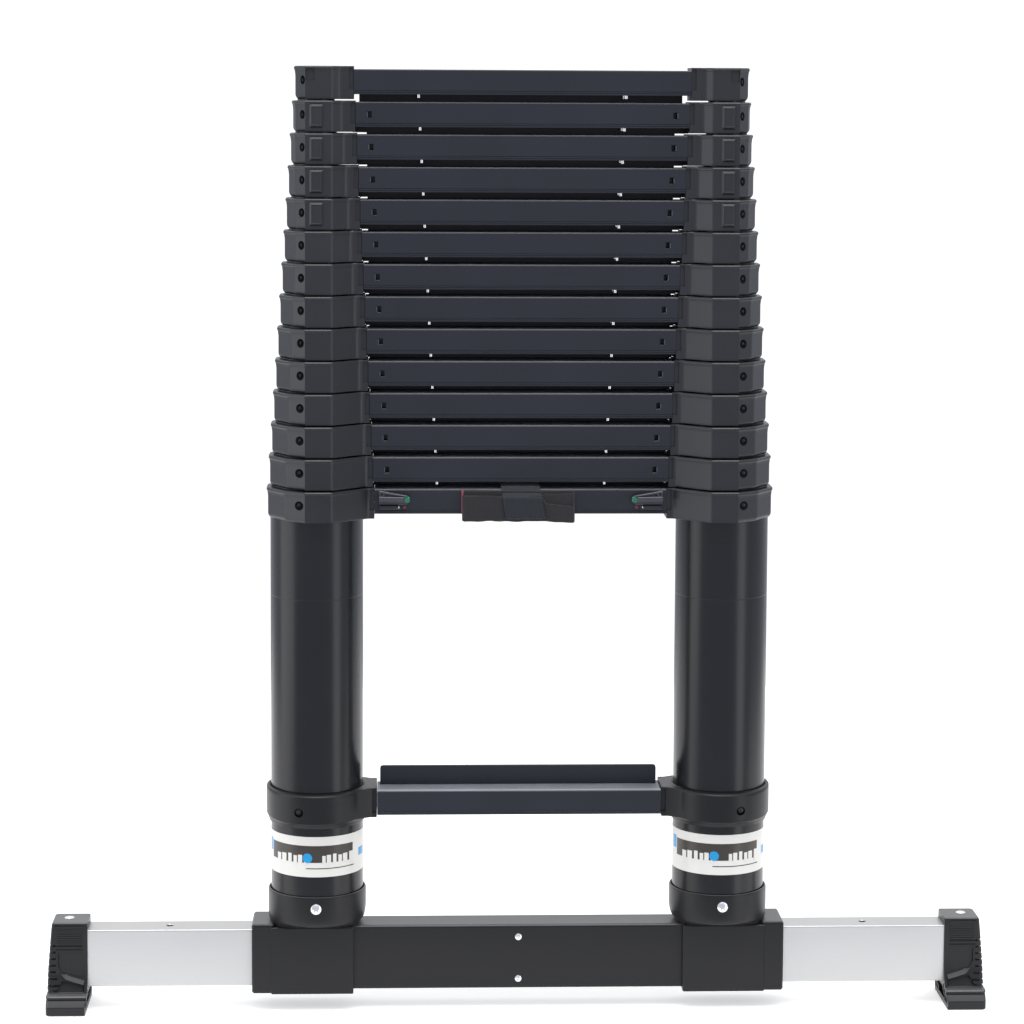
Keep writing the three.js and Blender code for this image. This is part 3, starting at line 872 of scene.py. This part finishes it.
def bottom_collar():
    low, high = node_box("bottom_collar_left")
    outer = -low.x - STILE_X
    inner = tube_radius(1) + 0.3
    step_z = low.z + BOTTOM_COLLAR["step"]
    wall = [  # (height, radius, share of the bulge): a slim skirt at the foot, then the main ring
        (low.z, inner + 0.6, 0),
        (low.z + 0.8, inner + 1.4, 0),
        (low.z + 3.5, inner + 2.2, 0.15),
        (step_z - 1, inner + 2.8, 0.4),
        (step_z, inner + 3.2, 0.7),
        (step_z + 1, outer - 0.6, 0.95),
        (step_z + 2.2, outer, 1),
        (high.z - 4, outer, 1),
        (high.z - 1.4, outer - 0.1, 1),
        (high.z - 0.4, outer - 0.7, 0.95),
        (high.z, outer - 1.8, 0.8),
        (high.z, inner + 1.4, 0.3),
        (high.z - 1, inner, 0),
        (low.z, inner, 0),
    ]
    ring = bulged_ring(-STILE_X, wall, BOTTOM_COLLAR["bulge"], BOTTOM_COLLAR["dip"])
    boss_low, boss_high = step_z - 0.6, high.z - 0.6
    half = RUNG_HALF_DEPTH + 0.5
    end = node_box("bottom_rung")[0].x - 0.3
    boss = block((-STILE_X + inner + 1, -half, boss_low), (end, half, boss_high), 1.2)
    neck = []
    for inward, half_depth in ((outer - 16, 38), (outer - 8, 31), (outer - 1, 26.5), (outer + 5, half - 0.2)):
        corners = rounded(rectangle(-half_depth, boss_low + 0.3, half_depth, boss_high - 0.2, 1.2), 3)
        neck.append([(-STILE_X + inward, y, z) for y, z in corners])
    cutters = [rod((-STILE_X, 0, low.z - 2), (0, 0, 1), 60, inner, 96)]
    for facing in (1, -1):
        start = (-STILE_X - BOTTOM_COLLAR["hole_u"], -facing * 44, high.z - BOTTOM_COLLAR["hole_drop"])
        cutters.append(rod(start, (0, -facing, 0), 20, BOTTOM_COLLAR["hole_radius"], 28))
        y0, y1 = sorted((facing * (half - 2), facing * (half + 4)))
        cutters.append(plain_box((end - 4.6, y0, boss_low + 5), (end + 2, y1, boss_high - 2)))
    return carve(join(ring, boss, loft(neck)), *cutters)


def bottom_collar_screws():
    z = node_box("bottom_collar_left")[1].z - BOTTOM_COLLAR["hole_drop"]
    x = -STILE_X - BOTTOM_COLLAR["hole_u"]
    return merged(*[screw_head((x, -facing * 46.6, z), (0, -facing, 0), 3.4, 1.2, 20) for facing in (1, -1)])


# The lock levers

LEVER_RISE = 2.4  # the levers sit this much higher than their CAD solids
LEVER_REACH = 1.4  # and reach this much further toward the middle


def lever_plate(corners, front, back, ease, steps=3):
    """A flat part that faces the front, from (x, z, radius) corners."""
    return prism_y(rounded(corners, steps), front, back, ease)


def build_levers():
    low, high = node_box("release_lever_left")
    front, back = low.y, -RUNG_HALF_DEPTH - 0.3
    outer, inner = low.x, high.x + LEVER_REACH
    top, bottom = high.z + LEVER_RISE, low.z + LEVER_RISE
    end = inner - 1.5
    corners = [(outer, bottom, 0.8), (inner - 4, bottom, 1), (end, bottom + 2, 1), (end, bottom + 8.5, 1)]
    plate = lever_plate(corners + [(outer, top, 1.5)], back - 4.2, back, 0.5)
    end = inner - 2
    corners = [(outer, top - 2.6, 0.8), (end, top - 6.8, 0.8), (end, top - 5.2, 0.8), (outer, top, 1.2)]
    rim = lever_plate(corners, front + 1.0, back - 2, 0.6)
    end = inner - 5.5
    corners = [(outer, bottom + 3.4, 0.8), (end, bottom + 3.0, 0.8)]
    corners += [(end, bottom + 8.0, 0.8), (outer, bottom + 8.6, 0.8)]
    tongue = lever_plate(corners, front + 0.4, back - 2, 0.7)
    hook = turned((outer + 3.2, back - 2, top - 3.4), (0, -1, 0), [(0, 3.1), (5.2, 3.1), (5.9, 2.4)], 28)
    eye = turned((outer + 3.2, back - 2, top - 3.6), (0, -1, 0), [(3.4, 1.5), (9, 1.5)], 20)
    lever = carve(join(plate, rim, hook, tongue), eye)
    add_pair("lever_{}", lever, "latch_{}", "lever", ["release_lever_{}"])
    end = inner - 6
    corners = [(end, bottom + 2.8, 0.6), (inner, bottom + 2.6, 2)]
    corners += [(inner, bottom + 8.4, 2), (end, bottom + 8.2, 0.6)]
    tip = lever_plate(corners, front + 1.2, back - 3, 0.8, 4)
    add_pair("lever_tip_{}", tip, "latch_{}", "green")

    corners = [(outer, bottom - 4.6, 1), (outer + 17.5, bottom - 4.6, 1), (outer + 20, bottom - 2.6, 1)]
    corners += [(outer + 18.5, bottom - 0.4, 1), (outer, bottom - 0.6, 1)]
    guide = lever_plate(corners, back - 5.6, back + 0.3, 0.7)
    add_pair("lever_guide_{}", guide, "base", "collar")
    x, z = outer + 19.4, bottom - 2.7
    washer = turned((x, back, z), (0, -1, 0), [(-0.3, 3.0), (0.9, 3.0), (1.3, 2.5)], 28)
    add_pair("lever_guide_washer_{}", washer, "base", "collar")
    head = screw_head((x, back - 1.2, z), (0, -1, 0), 1.3, 0.8, 20)
    add_pair("lever_guide_screw_{}", head, "base", "steel")
    dot = turned((inner - 5.4, back, bottom - 2.6), (0, -1, 0), [(-0.3, 1.7), (0.5, 1.7), (0.9, 1.2)], 20)
    add_pair("lever_open_mark_{}", dot, "base", "red")


# The strap

LAYER = 1.9  # the strip's thickness with the air beside it
STRAP_CUT = {"front_drop": 5.2, "back_drop": 0.5, "below": 6.2, "front_layers": 2.4, "right_end": 5.0}
STRAP_BAND = {"thick": 1.8, "left": -19.5, "left_lean": 4.5, "right": 19.0, "right_lean": 5.4}


def fold_line(left, right, front, back):
    """The line of a strip folded to and fro, from its front layer to its back one, seen from above."""
    layers = int((back - front) / LAYER)
    pitch = (back - front) / layers
    line = []
    for layer in range(layers):
        y = front + pitch * (layer + 0.5)
        ends = (left + 1.2, right - 1.2 + 0.25 * layer)
        start, stop = ends if layer % 2 == 0 else ends[::-1]
        line += [(start + (stop - start) * i / 24, y) for i in range(25)]
        if layer < layers - 1:
            bulge = 1.1 if stop > start else -1.1
            line.append((stop + bulge, y + pitch / 2))
    return line


def ribbon(line, z_low, z_high, thick):
    """A strip that stands on edge and follows a line of (x, y) points. z_low and z_high give its edges."""
    rings = []
    for i, here in enumerate(line):
        before = Vector(line[max(0, i - 1)])
        after = Vector(line[min(len(line) - 1, i + 1)])
        along = (after - before).normalized()
        across = Vector((along.y, -along.x)) * thick / 2
        low, high = z_low(*here), z_high(*here)
        section = [(1, low + 0.5), (0, low), (-1, low + 0.5), (-1, high - 0.5), (0, high), (1, high - 0.5)]
        rings.append([(*(Vector(here) + across * side), z) for side, z in section])
    return loft(rings)


def strap_bundle(low, high, front, back, rung_low, rung_top):
    """The folded strip. Its front layers are cut lower than its back ones, and lowest at the right."""

    def lower(x, y):
        wave = 0.35 * math.sin(x / 7 + y) + 0.25 * math.sin(x / 2.9)
        return rung_low - STRAP_CUT["below"] + wave - 1.6 * max(0, x - 24) / 30 + 0.5 * (y > front + 4)

    def upper(x, y):
        in_front = y < front + LAYER * STRAP_CUT["front_layers"]
        drop = STRAP_CUT["front_drop"] if in_front else STRAP_CUT["back_drop"]
        if in_front and x > 20:
            drop = 12.4 + 0.09 * (x - 20) if y < front + LAYER else 3.2
        return rung_top - drop + 0.25 * math.sin(x / 9 + y)

    line = fold_line(low.x, high.x - STRAP_CUT["right_end"], front, back)
    shape = ribbon(line, lower, upper, LAYER * 0.82)
    bundle = add("strap_bundle", shape, "base", "strap", ["strap"])


def strap_band(low, high, rung_low):
    """The band round the bundle and the rung. It leans a little to the right toward its foot."""
    corners = [(low.y, low.z + 1.0, 3.0), (-8, rung_low - 0.7, 4), (high.y, rung_low - 1.7, 2.0)]
    corners += [(high.y, high.z - 0.6, 2.2), (-RUNG_HALF_DEPTH + 1, high.z, 3)]
    corners.append((low.y + 0.5, high.z - 9.5, 4.5))
    loop = rounded(corners, 6)
    outward = normals(loop)
    outside, inside = [], []
    steps = 12
    for step in range(steps + 1):
        at_edge = step in (0, steps)
        thick = STRAP_BAND["thick"] * (0.55 if at_edge else 0.9)
        ease = STRAP_BAND["thick"] * 0.2 if at_edge else 0
        for rings, depth in ((outside, ease), (inside, ease + thick)):
            ring = []
            for (y, z), normal in zip(loop, outward):
                down = (high.z - z) / (high.z - low.z)
                left = STRAP_BAND["left"] + STRAP_BAND["left_lean"] * down
                right = STRAP_BAND["right"] + STRAP_BAND["right_lean"] * down
                x = left + (right - left) * (step / steps)
                ring.append((x, y - normal.x * depth, z - normal.y * depth))
            rings.append(ring)
    shape = loft(outside + inside[::-1], closed=True)
    band = add("strap_band", shape, "base", "band", ["strap"])


def build_strap():
    low, high = node_box("strap")
    rung_top = rung_box(1)[1].z
    rung_low = rung_top - RUNG_HEIGHT
    front, back = low.y + STRAP_BAND["thick"] + 0.3, -RUNG_HALF_DEPTH - 0.5
    strap_bundle(low, high, front, back, rung_low, rung_top)
    strap_band(low, high, rung_low)
    trim = block((low.x - 1.4, back - 5.6, rung_low + 0.2), (low.x + 0.9, back + 0.2, rung_top - 0.4), 0.7)
    add("strap_trim", trim, "base", "trim")


# Labels on the widest tubes

LABEL = {"low": 142.4, "high": 183, "strip_low": 157, "strip_high": 174, "dot_u": 8.5, "dot_z": 161.6}
STROKES = {"count": 6, "starts": (-36, 8.5), "pitch": 5.3, "width": 3.4, "low": 154.5, "high": 165.5}
ON_LABEL, ON_STRIP = 0.26, 0.36  # how far prints stand out from the tube


def label_patch(u0, u1, z0, z1, lift, steps=48):
    """A thin patch on the front of the left tube, from u0 to u1."""
    r = tube_radius(1) + lift
    start, stop = (math.asin(max(-0.999, min(0.999, u / r))) for u in (u0, u1))
    corners = ((r, z0), (r, z1), (r - 0.08, z1), (r - 0.08, z0))
    rings = []
    for i in range(steps + 1):
        angle = start + (stop - start) * i / steps
        u, v = math.sin(angle), math.cos(angle)
        rings.append([stile_point(reach * u, reach * v, z) for reach, z in corners])
    return loft(rings)


def build_labels():
    radius = tube_radius(1)
    low, high = LABEL["low"], LABEL["high"]
    band = pipe(0, [(low, radius + 0.02), (low, radius + 0.16), (high, radius + 0.16), (high, radius + 0.02)])
    strip = label_patch(-36, 43, LABEL["strip_low"], LABEL["strip_high"], ON_LABEL)
    strokes = []
    for start in STROKES["starts"]:
        for i in range(STROKES["count"]):
            u = start + i * STROKES["pitch"]
            wide = STROKES["width"] * (1.25 if i % 3 == 1 else 1)
            stroke_low, stroke_high = STROKES["low"] + (2.4 if i % 2 else 0), STROKES["high"] - 0.8 * (i % 3)
            strokes.append(label_patch(u, u + wide, stroke_low, stroke_high, ON_STRIP, 6))
    fine = label_patch(-37, 10, 150.6, 151.5, ON_LABEL)
    angle = math.asin(LABEL["dot_u"] / radius)
    axis = Vector((-math.sin(angle), -math.cos(angle), 0))
    centre = Vector((-STILE_X, 0, LABEL["dot_z"])) + axis * (radius - 1)
    dot = turned(centre, axis, [(0, 4.9), (1.55, 4.8), (1.6, 4.7)], 40)
    corner = label_patch(43.5, 45.6, 163, 176, ON_LABEL)
    mark = label_patch(-45.4, -41.5, 158, 166, ON_LABEL)
    prints = {
        "strip": (merged(strip, fine), "print"),
        "lines": (merged(*strokes), "label"),
        "marks": (merged(dot, corner, mark), "blue"),
    }
    for side, sign in SIDES.items():
        # the two labels are alike, and not mirrored: both read from left to right
        shift = 0 if side == "left" else 2 * STILE_X
        add(f"label_{side}", moved(band, (sign * STILE_X, 0, 0)), "base", "label")
        for part, (shape, look) in prints.items():
            add(f"label_{part}_{side}", moved(shape, (shift, 0, 0)), "base", look)


# The stabiliser


def ray_to_box(angle, x0, x1, y_half, power=5):
    """Where a ray from the origin meets a box whose corners are rounded, the less the higher the power."""
    c, s = math.cos(angle), math.sin(angle)
    reach_x = (x1 if c > 0 else -x0) / max(abs(c), 1e-9)
    reach_y = y_half / max(abs(s), 1e-9)
    reach = (reach_x**-power + reach_y**-power) ** (-1 / power)
    return reach * c, reach * s


SOCKET = {"inner": 36.6, "outer": -45.8, "half": 26, "box_top": 89.4, "panel_top": 85.4, "bore_low": 92}
SOCKET_LEVELS = [  # (height, share of the box's outline along X and along Y)
    (70, 1, 1), (84.6, 1, 1), (85.6, 0.52, 0.93), (87, 0.46, 0.70), (88.6, 0.40, 0.42), (90.2, 0.32, 0.20),
    (91.8, 0.20, 0.07), (94, 0.12, 0.015), (97, 0.06, 0), (101, 0.02, 0), (105, 0, 0),
]


def socket_neck(ring, top):
    """From the box's outline to the ring's, with the ring's top edge eased."""
    sides = 96
    half = SOCKET["half"] - 0.5
    levels = [(*level, 0) for level in SOCKET_LEVELS]
    levels += [(top - 1.8, 0, 0, 0), (top - 0.5, 0, 0, 0.5), (top, 0, 0, 1.6)]
    rings = []
    for z, boxy_x, boxy_y, ease in levels:
        row = []
        for i in range(sides):
            angle = 2 * math.pi * i / sides
            x0, y0 = (ring - ease) * math.cos(angle), (ring - ease) * math.sin(angle)
            x1, y1 = ray_to_box(angle, SOCKET["outer"] + 1.0, SOCKET["inner"], half)
            row.append((-STILE_X + x0 + (x1 - x0) * boxy_x, y0 + (y1 - y0) * boxy_y, z))
        rings.append(row)
    return loft(rings)


def base_socket():
    low, high = node_box("base_socket_left")
    half, outer, inner = SOCKET["half"], -STILE_X + SOCKET["outer"], -STILE_X + SOCKET["inner"]
    panel = rounded(rectangle(-half, low.z, half, SOCKET["panel_top"], 1.4), 4)
    outboard = rounded(rectangle(-half + 0.8, low.z + 0.5, half - 0.8, SOCKET["box_top"] - 0.4, 3.2), 4)
    front_box = prism_x(panel, outer, inner, 0.9)
    side_box = prism_x(outboard, low.x, outer + 3, 1.6)
    tube_low, tube_high = node_box("stabiliser_sleeve")
    room = 0.2
    corners = rectangle(tube_low.y - room, tube_low.z - room, tube_high.y + room, tube_high.z + room, 3)
    channel = prism_x(rounded(corners, 4), low.x - 60, high.x + 60)
    bore_radius = tube_radius(1) + 0.3
    bore = rod((-STILE_X, 0, SOCKET["bore_low"]), (0, 0, 1), 60, bore_radius, 96)
    rim = turned((-STILE_X, 0, high.z - 1.4), (0, 0, 1), [(0, bore_radius), (3, tube_radius(1) + 2.6)], 96)
    return carve(join(socket_neck(-low.y, high.z), front_box, side_box), channel, bore, rim)


def build_base():
    shell = base_socket()
    # the socket's upward faces get painted light
    painted_light_look = [("sleeve_top", 0.6)]
    add_pair("base_socket_shell_{}", shell, "base", "base", ["base_socket_{}"], painted_light_look)
    low, high = node_box("socket_screw_left")
    middle = (low.z + high.z) / 2
    seat = low.y + 2.6
    head = screw_head((-STILE_X, seat, middle), (0, -1, 0), 5.5, 2.6, 40)
    shank = rod((-STILE_X, seat + 0.4, middle), (0, 1, 0), 5.5, 2.2, 20)
    add_pair("socket_screw_head_{}", join(head, shank), "base", "steel", ["socket_screw_{}"])
    bar = hollow_bar("stabiliser_sleeve", 1.7, 3.2, 1.8)
    # the sleeve's upward faces get painted light
    lighten(add("sleeve_tube", bar, "base", "sleeve", ["stabiliser_sleeve"]), "sleeve_top", 0.3)
    face = node_box("stabiliser_sleeve")[1].y + 0.1
    places = [(facing, z) for z in (73, 30.1) for facing in (-1, 1)]
    heads = [screw_head((0, facing * face, z), (0, facing, 0), 3.5, 1.5, 28) for facing, z in places]
    add("sleeve_screws", merged(*heads), "base", "steel")
    add_pair("bottom_collar_ring_{}", bottom_collar(), "base", "base", ["bottom_collar_{}"])
    add_pair("bottom_collar_screws_{}", bottom_collar_screws(), "base", "black_steel")


def arm():
    top = node_box("stabiliser_arm_left")[1].z
    hole = turned((-350, 0, top - 5), (0, 0, 1), [(0, 3.6), (4.4, 3.6), (5.4, 4.4), (7, 4.6)], 28)
    return carve(hollow_bar("stabiliser_arm_left", 2, 2, 0.8), hole)


# The feet. Their shape is lofted upward from the sole.

FOOT_INNER = 431
FOOT_LEVELS = [  # (height, how far outboard it reaches, half its depth)
    # the sole, with a groove round it
    (0, 470.6, 36.4), (0.9, 471.4, 37.4), (7.5, 471.5, 37.5), (9, 471.5, 37.4), (14.6, 471.4, 34.1),
    (15.2, 471.2, 33.2), (16.4, 471.2, 33.0), (16.9, 471.4, 34.9), (18.3, 471.4, 35.2), (19.4, 471.2, 34.0),
    # the body
    (19.8, 471.0, 26.6), (24, 471.0, 24.6), (30, 470.9, 22.2), (37, 470.8, 20.2), (47, 470.2, 19.4),
    (64, 468.8, 18.9), (80, 467.4, 18.5), (86.6, 466.8, 18.3), (88.6, 466.3, 17.9), (89.4, 465.6, 17.2),
    (89.8, 464.4, 16.2),
]
GROOVES = {"low": 27, "pitch": 6.6, "half": 1.1, "depth": 3.2, "reach": (-456, -461, *[-462.5] * 5)}
PANEL_LINES = {"low": 67.5, "pitch": 2.25, "half": 0.45, "count": 8}
CELLS = ((31.2, 11.5), (25.2, 18), (19.4, 22))  # (distance from the middle, top) of the cells under the arm
OPEN_END = -420  # cutters that open toward the arm end here, clear of the foot


def foot_half_depth(z):
    """Half of the foot's depth at a height."""
    for (z0, _, d0), (z1, _, d1) in zip(FOOT_LEVELS, FOOT_LEVELS[1:]):
        if z <= z1:
            return d0 + (d1 - d0) * max(0, z - z0) / (z1 - z0)
    return FOOT_LEVELS[-1][2]


def foot_body(shrink):
    rings = []
    for z, outer, half in FOOT_LEVELS:
        inner = FOOT_INNER + (1.4 if z < 12 else 0) + (0.9 if z > 89.5 else 0)
        radius = 3.2 if z > 33 else 4.5
        left, right, half = -outer + shrink, -inner - shrink, half - shrink
        corners = [(left, -half, radius), (right, -half, 1.2), (right, half, 1.2), (left, half, radius)]
        rings.append([(x, y, z) for x, y in rounded(corners, 4)])
    return loft(rings)


def foot_grooves():
    """Cutters for the ladder of grooves up the foot's outer edge. The lower ones run further across it."""
    core = foot_body(GROOVES["depth"])
    half = GROOVES["half"]
    made = []
    for i, reach in enumerate(GROOVES["reach"]):
        z = GROOVES["low"] + GROOVES["pitch"] * i
        made.append(carve(plain_box((-490, -45, z - half), (reach, 45, z + half)), core))
    return made


def foot_panel_lines():
    """Cutters for the lines on the upper front and back: fine ones, three deeper ones and an upright one."""
    shallow, deep = foot_body(0.5), foot_body(1.1)
    heights = [PANEL_LINES["low"] + PANEL_LINES["pitch"] * i for i in range(PANEL_LINES["count"])]
    half = PANEL_LINES["half"]
    lines = [(-461, -436.5, z - half, z + half, shallow) for z in heights]
    lines += [(-462.5, -436.5, z - 0.7, z + 0.7, deep) for z in (62.8, 66.2, 86.4)]
    lines.append((-436.6, -435.4, 27, 86.4, shallow))
    made = []
    for facing in (-1, 1):
        y0, y1 = sorted((facing * 12, facing * 30))
        made += [carve(plain_box((x0, y0, z0), (x1, y1, z1)), core) for x0, x1, z0, z1, core in lines]
    return made


def foot_hollows():
    """Cutters for two sunk areas on the front and back, and for the cells in the side that faces the arm."""
    panel = [(-460.5, 61), (-460.5, 47), (-457, 39.5), (-451.5, 37.4), (-436.5, 33.6), (-436.5, 61)]
    recess = [(-456, 31.4), (-434, 26.6), (-434, 20.2), (-475, 20.2), (-475, 23), (-461, 23)]
    sunk = [(panel, foot_body(0.9)), (recess, foot_body(3.6))]
    made = []
    for facing in (-1, 1):
        y0, y1 = sorted((facing * 12, facing * 45))
        made += [carve(prism_y(outline, y0, y1), core) for outline, core in sunk]
        for y, top in CELLS:
            y0, y1 = sorted((facing * (y - 2.3), facing * (y + 2.3)))
            made.append(plain_box((-436.5, y0, 4.5), (OPEN_END, y1, top)))
    return made


def foot():
    low, high = node_box("stabiliser_arm_left")
    room = Vector((0.3, 0.3, 0.3))
    pocket = plain_box(low - room, (OPEN_END, high.y + room.y, high.z + room.z))
    hollow = plain_box((-462, -15, 5.5), (OPEN_END, 15, 18))
    return carve(foot_body(0), pocket, hollow, *foot_grooves(), *foot_panel_lines(), *foot_hollows())


def foot_ribs():
    """On the front and the back, a rib that bends into a broad sloping bar."""
    made = []
    path = [(-460.6, 57), (-460.6, 50), (-460.2, 45), (-458.8, 41), (-456.6, 38.2), (-454, 36.4)]
    path += [(-451.5, 35.2), (-446, 33.4), (-434.2, 30)]
    for facing in (-1, 1):
        rings = []
        for i, (x, z) in enumerate(path):
            before, after = path[max(0, i - 1)], path[min(len(path) - 1, i + 1)]
            along = Vector((after[0] - before[0], after[1] - before[1])).normalized()
            broad = min(1, max(0, i - 4) / 2)
            surface = facing * foot_half_depth(z)
            side = Vector((-along.y, along.x)) * (0.8 + 2.0 * broad)
            upper, lower = 1.2 - 0.9 * broad, 1.2 + 1.6 * broad
            section = [(1, -2.5), (1, 0.1), (0.7, upper), (-0.7, lower), (-1, lower - 0.8), (-1, -2.5)]
            rings.append([(x + side.x * a, surface + facing * lift, z + side.y * a) for a, lift in section])
        made.append(loft(rings))
    return merged(*made)


def build_outriggers():
    add_pair("arm_{}", arm(), "outrigger_{}", "silver", ["stabiliser_arm_{}"])
    # painted light: the foot's top and the ledge at the sole's top edge get lighter colours for the light
    # falling on them
    painted_light_look = [("foot_top", 0.6, 1.1, 80), ("foot_top", 0.6, 1.1, 17, 21), ("foot_ledge", 0.45, 0.6, 5, 17)]
    add_pair("foot_shell_{}", foot(), "outrigger_{}", "foot", ["foot_{}"], lighter=painted_light_look)
    # the ribs' upward faces get painted light too
    add_pair("foot_ribs_{}", foot_ribs(), "outrigger_{}", "foot", lighter=[("foot_ledge", 0.3)])
    rivet = turned((-450.5, 0, 88), (0, 0, 1), [(0, 5), (2.3, 5), (2.8, 4.4), (3.2, 3), (3.4, 1.2)], 36)
    add_pair("foot_rivet_{}", rivet, "outrigger_{}", "steel")


build_stiles()
build_rungs()
build_bottom_rung()
build_levers()
build_strap()
build_labels()
build_base()
build_outriggers()
for side in SIDES:
    frame["nodes"][f"lock_pin_{side}"].material_slots[0].material = MATERIALS["steel"]


# The studio


FLOOR = {"half": 1.6, "front": -0.3, "low": -0.0002}  # just under the soles, and cut off before the front
FLOOR_GLOW = 0.45  # a light table, which is why the ladder has such faint shadows
DIM, BRIGHT, BACKDROP = (0.64, 0.67, 0.75), (1.25, 1.25, 1.25), (1.10, 1.10, 1.10)


def add_floor():
    half, front = FLOOR["half"], FLOOR["front"]
    mesh = bpy.data.meshes.new("floor")
    corners = [(-half, front, 0), (half, front, 0), (half, half, 0), (-half, half, 0)]
    mesh.from_pydata(corners, [], [(0, 1, 2, 3)])
    material, tree, shader = new_material("floor_pale")
    mottle = ranged(tree, noise(tree, 3), 0, 1)
    give(tree, shader, "Base Color", blended(tree, mottle, (0.80, 0.80, 0.80), (0.82, 0.82, 0.82)))
    give(tree, shader, "Roughness", 0.9)
    give(tree, shader, "Specular IOR Level", 0.1)
    give(tree, shader, "Emission Color", (1, 1, 1, 1))
    give(tree, shader, "Emission Strength", FLOOR_GLOW)
    mesh.materials.append(material)
    floor = bpy.data.objects.new("floor", mesh)
    floor.location.z = FLOOR["low"]
    bpy.context.scene.collection.objects.link(floor)


def add_world():
    """A white backdrop all round. The room that lights the ladder is dim in front, up to head height."""
    world = bpy.data.worlds.new("studio")
    world.use_nodes = True
    bpy.context.scene.world = world
    tree = world.node_tree
    place = add_node(tree, "TexCoord").outputs["Generated"]
    split = add_node(tree, "SeparateXYZ", Vector=place)
    far_side = ranged(tree, split.outputs["Y"], 0, 1, 0.2, 0.8)
    above_floor = ranged(tree, split.outputs["Z"], 0, 1, 0.12, 0.3)
    overhead = ranged(tree, split.outputs["Z"], 0, 1, 0.45, 0.8)
    bright = sum_of(tree, combined(tree, "MULTIPLY", far_side, above_floor), overhead)
    seen = add_node(tree, "LightPath").outputs["Is Camera Ray"]
    color = blended(tree, seen, blended(tree, bright, DIM, BRIGHT), BACKDROP)
    give(tree, tree.nodes["Background"], "Color", color)


def add_light(name, place, target, width, height, power):
    data = bpy.data.lights.new(name, "AREA")
    data.shape = "RECTANGLE"
    data.size = width
    data.size_y = height
    data.energy = power
    light = bpy.data.objects.new(name, data)
    light.location = place
    light.rotation_euler = (Vector(target) - Vector(place)).to_track_quat("-Z", "Y").to_euler()
    bpy.context.scene.collection.objects.link(light)


add_floor()
add_world()
add_light("left_softbox", (-2.6, -0.55, 1.0), (0, 0, 0.55), 2.0, 2.8, 28)
add_light("right_softbox", (2.1, -1.8, 0.5), (0, 0, 0.4), 0.9, 2.6, 12)
add_light("top_softbox", (0, -0.9, 3.2), (0, 0, 0.2), 2.4, 1.8, 60)
bpy.context.scene.view_settings.view_transform = "Standard"
